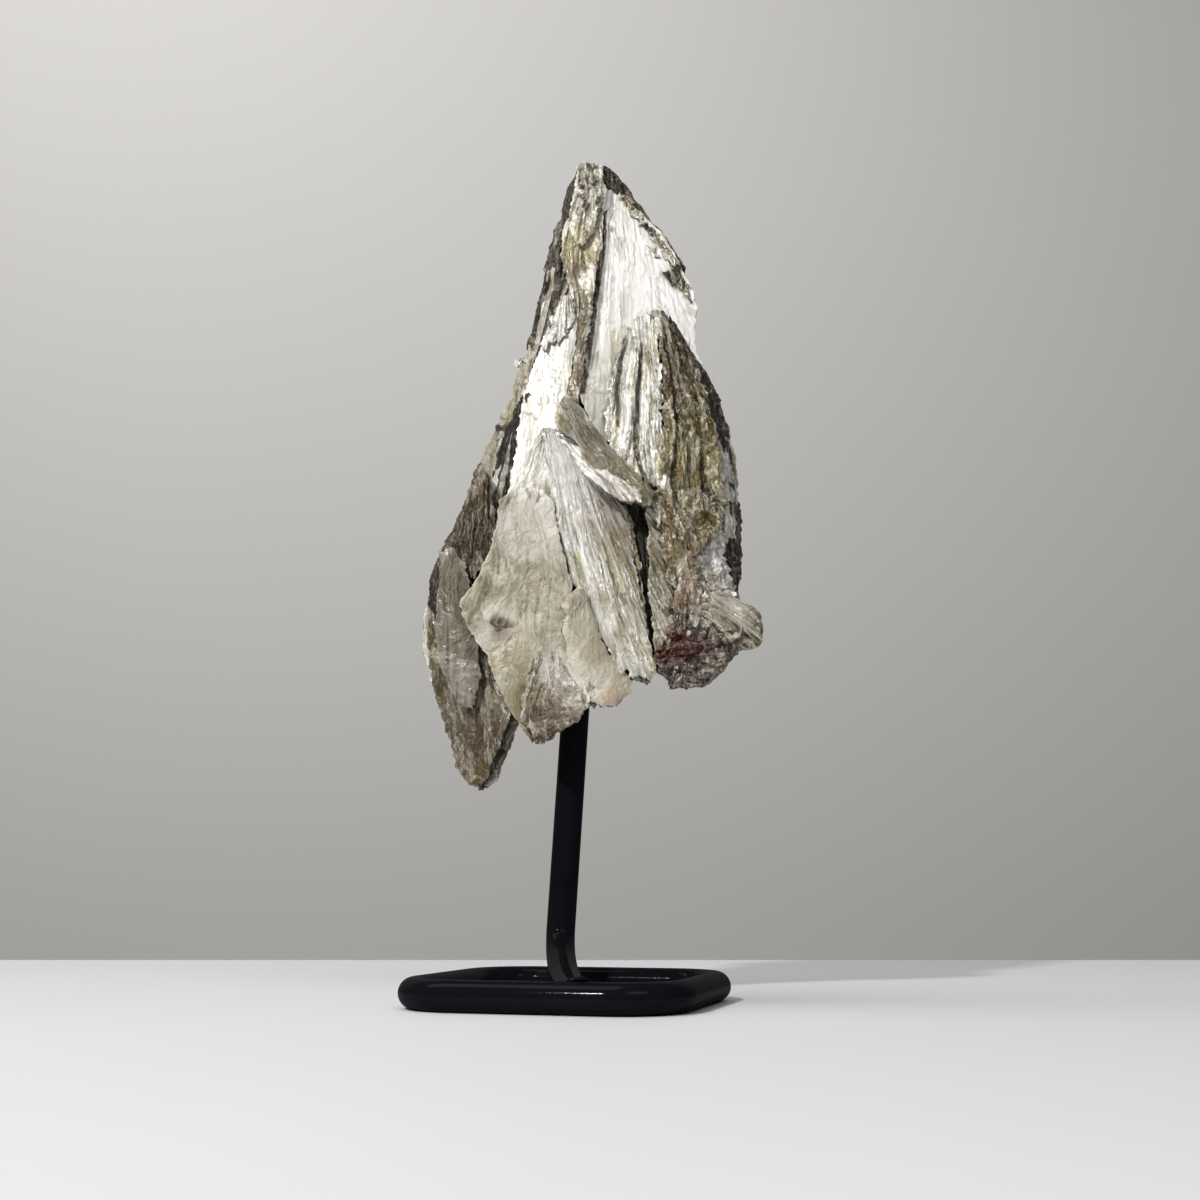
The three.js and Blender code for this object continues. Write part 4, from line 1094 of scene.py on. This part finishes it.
# ---- Hanging blade ----
# The long blade that hangs lowest at the left, with a grey leaf over its upper half and a thin
# clear leaf along its outer edge.  Mica, grown fast at its upper end and free at its lower one.
# Its dark grey is partly painted shade on the leaf over the hanging blade.
grey_leaf_and_shade = mica_finish("grey_leaf_and_shade", (0.41, 0.385, 0.325), (0.175, 0.15, 0.105), (0.045, 0.036, 0.022),
    metal=0.25, rough=(0.18, 0.4), weave=0.8, blade=(1.0, 0.8), tip=0.6, hair=(7, 3), hair_depth=0.3,
    ledges=(0.55, 0.5), steps=18, ledge_depth=0.22, vein_share=0.25, patch=60, rim_shine=0.4)
hanging = new_stone()
mica_book(hanging, 51, (-34, 90, 8), -18, -1,
    [(-43, 125), (-45, 119), (-45.5, 112), (-46, 104), (-45.5, 96), (-44, 88), (-41.5, 80), (-38, 70),
     (-36.5, 64), (-32, 58.5)],
    [(-34, 120), (-31, 112), (-29, 103), (-27, 96), (-25, 88), (-21, 78), (-23, 72), (-25.5, 66),
     (-28, 61), (-30, 58)], olive_fibre, deep=8, strip=1.6, rise=0.15, tilt=0.3, swell=1.0, crumple=0.25,
    back=True)
mica_book(hanging, 52, (-36, 100, 12), -10, -2,
    [(-41.5, 125), (-42, 116), (-42.5, 108), (-42.5, 99), (-41, 92), (-38.5, 86), (-35, 80)],
    [(-38, 125.5), (-35, 121), (-33, 116), (-33.5, 109), (-32, 102), (-30.5, 97), (-29.5, 91), (-30, 86),
     (-32, 80)], grey_leaf_and_shade, deep=5, strip=2.4, rise=0.05, tilt=0.1, crown=1.4, step=0.25, swell=0.8,
    wave=2, sheets=4, cell=0.3)
# Dark sheets on the blade's right wall, whose darkness partly paints the shade on that side.
mica_book(hanging, 53, (-28, 76, 6), 26, -2,
    [(-31, 106), (-31, 88), (-30, 70), (-30, 58)],
    [(-27, 100), (-21, 84), (-19, 78), (-22, 70), (-27, 61)], dark_sheet_and_shade, deep=8, strip=1.4, rise=0.25,
    tilt=0.5)
mica_book(hanging, 54, (-36, 100, 9.5), -18, -2,
    [(-44.5, 120), (-45.5, 115), (-45, 109.5)],
    [(-41, 122), (-40.5, 114.5), (-41.5, 108.5)], dark_sheet_and_shade, deep=4, strip=1.4, crumple=0.5, sheets=2,
    cell=0.3)
mica_book(hanging, 55, (-36, 100, 7), -18, -2,
    [(-46.3, 109.5), (-47.3, 101), (-46.3, 95), (-44.5, 88)],
    [(-43, 108), (-42, 101), (-42, 93.5), (-43, 87)], silver_fibre, deep=1.2, strip=1.4, rise=0.1,
    tilt=0.2, sheets=2, cell=0.3)
hanging_piece = stone_piece("mica_hanging_blade", hanging)
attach(hanging_piece, "root")
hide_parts("mica_cluster")

# ---- Dark cleft, rusty lump and right edge ----
# Black sheets seen on edge, whose blackness partly paints the shade in the cleft, the fibrous
# leaf beside them, the rusty lump of matrix with its stub, the grey crust above it and the dark
# leaf at the right edge.  Mica and stained rock in one.
rust = mica_finish("rusty_rock", (0.62, 0.54, 0.45), (0.05, 0.034, 0.025), (0.006, 0.0045, 0.004),
    metal=0.3, rough=(0.1, 0.38), share=(0.33, 0.58), weave=0.6, blade=(6, 4), tip=2.0, hair=(12, 6),
    hair_depth=0.9, ledges=(2, 1.6), ledge_depth=0.35, vein=(4, 3), vein_share=0.8, patch=200,
    patch_share=0.35,
    stains_and_painted_light=[((20.0, 101, 17), 12, (0.3, 0.15, 0.05), 0.75),
            ((24.0, 96.5, 17), 12, (0.13, 0.024, 0.015), 0.85),
            ((30.0, 97.5, 17), 12, (0.1, 0.02, 0.014), 0.8),
            ((29.0, 112, 16), 12, (0.4, 0.24, 0.12), 0.6),
            ((37.0, 109, 15), 18, (0.93, 0.86, 0.76), 0.8)])
lump = new_stone()
# The black sheets in the cleft: their darkness partly paints the shade beside the fan's right edge.
mica_book(lump, 61, (14, 115, 12.2), 6, 2,
    [(7, 143), (10, 136), (12, 127), (14, 116), (16, 105), (18, 95), (20, 90)],
    [(18, 144), (18.5, 136), (18, 127), (18.5, 117), (19.5, 108), (21, 99), (23, 91)], dark_sheet_and_shade, deep=8,
    strip=0.8, rise=0.3, tilt=0.5, crumple=0.4)
mica_book(lump, 62, (24, 110, 13.4), 18, 2,
    [(16.5, 147), (17.3, 132), (17.5, 120), (17.5, 112), (18.5, 104), (19.5, 94)],
    [(23, 137), (25.5, 130), (28, 122), (28, 114), (27, 106), (25, 96)], olive_leaf, rim=dark_sheet_and_shade,
    deep=10, strip=0.6, rise=0.25, tilt=0.4, pleat=0.4, crumple=0.7, cell=0.3, tip=3, fan=(-6, 170))
mica_book(lump, 68, (15, 115, 14.4), 6, 2,
    [(10.2, 138), (12.8, 129), (14.4, 120), (15.6, 110), (17, 100)],
    [(11.4, 138), (13.9, 129), (15.3, 120), (16.4, 110), (17.8, 100)], silver_fibre, rim=silver_fibre,
    deep=1.5, strip=0.6, crumple=0.3, sheets=2, cell=0.3, ragged=1)
mica_book(lump, 63, (26, 100, 13.5), 14, -4,
    [(27, 118), (25, 112), (23.5, 105), (21, 98), (20, 90), (24, 86)],
    [(33, 118), (40, 113), (44, 106), (43, 97), (39, 91), (35, 87), (29, 86)], rust, deep=15, strip=1.6,
    rise=0.4, tilt=0.9, swell=2.0, crumple=1.0, rim=rust)
mica_book(lump, 69, (30, 95, 15.2), 10, -24,
    [(19, 92.5), (24, 88), (30, 86.5), (37, 89.5), (44.5, 98)],
    [(19, 96), (26, 98.5), (31, 98), (37, 100.5), (44, 101)], rust, rim=rust, fan=(-10, 88), deep=5,
    sheets=3, strip=0.9, rise=0.4, tilt=0.9, swell=1.2, crumple=1.4, ragged=1.4, tip=2, cell=0.3)
mica_chips(lump, 163, 40,
    [(24, 114, 14.6), (38, 113, 12.4), (39, 99, 12.4), (22, 96, 15)], rust, size=(2.6, 7.5),
    thick=(0.8, 2.2), spill=42, slim=(0.3, 0.75))
mica_chips(lump, 164, 34,
    [(33, 115, 14.2), (42, 115, 11.8), (43, 107, 12), (33, 106, 14.8)], crust, size=(1.2, 3.6),
    thick=(0.4, 1.4), spill=50)
mica_chips(lump, 166, 26,
    [(22, 106, 15.4), (42, 106, 13), (42, 92, 13), (22, 92, 15.6)], crust, size=(0.8, 2.6),
    thick=(0.3, 1.0), spill=55)
mica_book(lump, 64, (42, 104, 13.2), 10, -2,
    [(34, 105.5), (38, 101.5), (42, 98), (46.5, 96.3), (49.5, 97.5)],
    [(36, 113), (41.5, 112), (46, 109.5), (49, 107), (50.3, 103)], olive_fibre, rim=olive_fibre,
    fan=(18, 122), deep=13, strip=0.8, rise=0.4, tilt=0.9, pleat=0.7, crown=1.5, skew=(-3, 0), ragged=1.0,
    tip=0.8, cell=0.3)
mica_book(lump, 65, (33, 128, 10.5), 20, 2,
    [(28, 133), (27.5, 128), (29, 122), (31, 116), (33, 110)],
    [(33, 138), (38, 135), (40, 128), (41, 118), (41, 111)], crust, rim=crust, deep=12, strip=1.4,
    rise=0.3, tilt=0.5, swell=1.8, crumple=0.9, cell=0.3, ragged=2, tip=4)
mica_book(lump, 67, (26, 126, 14.6), 16, 4,
    [(19, 141), (20, 132), (21.5, 123), (24, 115), (27, 112)],
    [(23, 137), (29, 131), (31.5, 124), (31, 116), (29, 113)], olive_fibre, rim=olive_fibre, deep=8,
    strip=1.0, rise=0.3, tilt=0.6, swell=1.5, crumple=0.8, cell=0.3, ragged=2, tip=4)
mica_chips(lump, 165, 70,
    [(29, 137, 13), (38, 136, 9.6), (41, 110, 9.6), (30, 112, 13.4)], crust, size=(1.0, 3.4),
    thick=(0.2, 0.8), spill=45, slim=(0.3, 0.8))
mica_book(lump, 66, (42, 130, 2), 34, 0,
    [(40, 149), (38.5, 140), (38, 128), (38.5, 120), (40, 114)],
    [(44, 147), (45.8, 140), (45.8, 128), (45.5, 120), (43, 115)], dark_sheet_and_shade, deep=12, strip=1.0,
    rise=0.4, tilt=0.7, crumple=0.5)
lump_piece = stone_piece("mica_rusty_lump", lump)
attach(lump_piece, "root")
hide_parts("mica_cluster")

# ---- Back and sides ----
# The books that fan down behind, grown like the front ones but broader and plainer, with the
# same silver, pearly and olive-brown sheets.
back_books = new_stone()
# The side that each book is seen from, its point, turn, lean, finish, depth and two edges.
REAR_BOOKS = [
    (180, (-10, 190, 13), -12, 5, silver_and_glare, 5,
     [(-4, 246), (-13, 238), (-22, 224), (-30, 208), (-30, 190), (-33, 176), (-24, 160)],
     [(1, 247), (5, 235), (6, 215), (5, 190), (2, 160), (-6, 152)]),
    (180, (12, 170, 12), 22, 6, silver_fibre, 10,
     [(1, 245), (1, 215), (2, 180), (4, 150), (12, 126)],
     [(2, 245), (5, 232), (8, 214), (13, 196), (18, 180), (25, 158), (32, 142), (28, 130)]),
    (180, (0, 120, 22), 4, 5, pearl, 14,
     [(-8, 190), (-14, 170), (-16, 140), (-14, 110), (-10, 94), (-4, 88)],
     [(2, 196), (8, 180), (14, 150), (20, 118), (18, 102), (8, 90)]),
    (180, (-28, 130, 16), -24, 4, olive_fibre, 16,
     [(-20, 186), (-28, 180), (-36, 166), (-40, 150), (-42, 130), (-41, 114), (-34, 100), (-26, 96)],
     [(-18, 186), (-15, 165), (-15, 140), (-13, 112), (-16, 99)]),
    (180, (28, 110, 14), 26, 3, olive_fibre, 16,
     [(18, 152), (14, 138), (12, 120), (13, 102), (19, 93), (24, 87)],
     [(20, 152), (28, 146), (36, 132), (40, 116), (39, 102), (34, 92), (28, 84)]),
    (180, (0, 100, 25), -8, -2, pearl, 7,
     [(-6, 124), (-12, 102), (-8, 89), (-2, 84)],
     [(4, 128), (10, 114), (12, 98), (6, 87)]),
    (180, (0, 150, 25), 12, 8, silver_fibre, 9,
     [(-15, 176), (-13, 156), (-4, 136), (6, 124)],
     [(-9, 179), (0, 160), (9, 140), (13, 128)]),
    (90, (0, 150, 33), 6, 10, olive_fibre, 16,
     [(4, 208), (3, 198), (-2, 170), (-6, 150), (-6, 130), (-4, 106)],
     [(6, 212), (13, 190), (18, 160), (20, 130), (17, 108), (6, 102)]),
    (90, (8, 130, 40), 24, 4, dark_sheet_and_shade, 14,
     [(2, 168), (-1, 140), (0, 112), (6, 100)],
     [(8, 172), (14, 150), (18, 124), (14, 106)]),
    (270, (0, 150, 24), -8, 13, silver_fibre, 12,
     [(0, 226), (-8, 200), (-14, 160), (-18, 128), (-15, 104)],
     [(1, 226), (5, 205), (6, 170), (4, 140), (2, 112), (-6, 96)]),
    (270, (-8, 112, 36), -20, 8, pearl, 12,
     [(-10, 146), (-16, 124), (-14, 92), (-8, 76)],
     [(-2, 150), (4, 128), (4, 104), (-2, 84)]),
]
for number, (side, at, turn, lean, finish, deep, left, right) in enumerate(REAR_BOOKS):
    mica_book(back_books, 70 + number, at, turn, lean, left, right, finish, side=side, deep=deep, cell=0.85,
              strip=1.6, rise=0.15, tilt=0.3, step=0.25, swell=1.0, crumple=0.15, pleat=0.2, tip=1.6)
rear_piece = stone_piece("mica_back_books", back_books)
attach(rear_piece, "root")
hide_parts("mica_cluster")
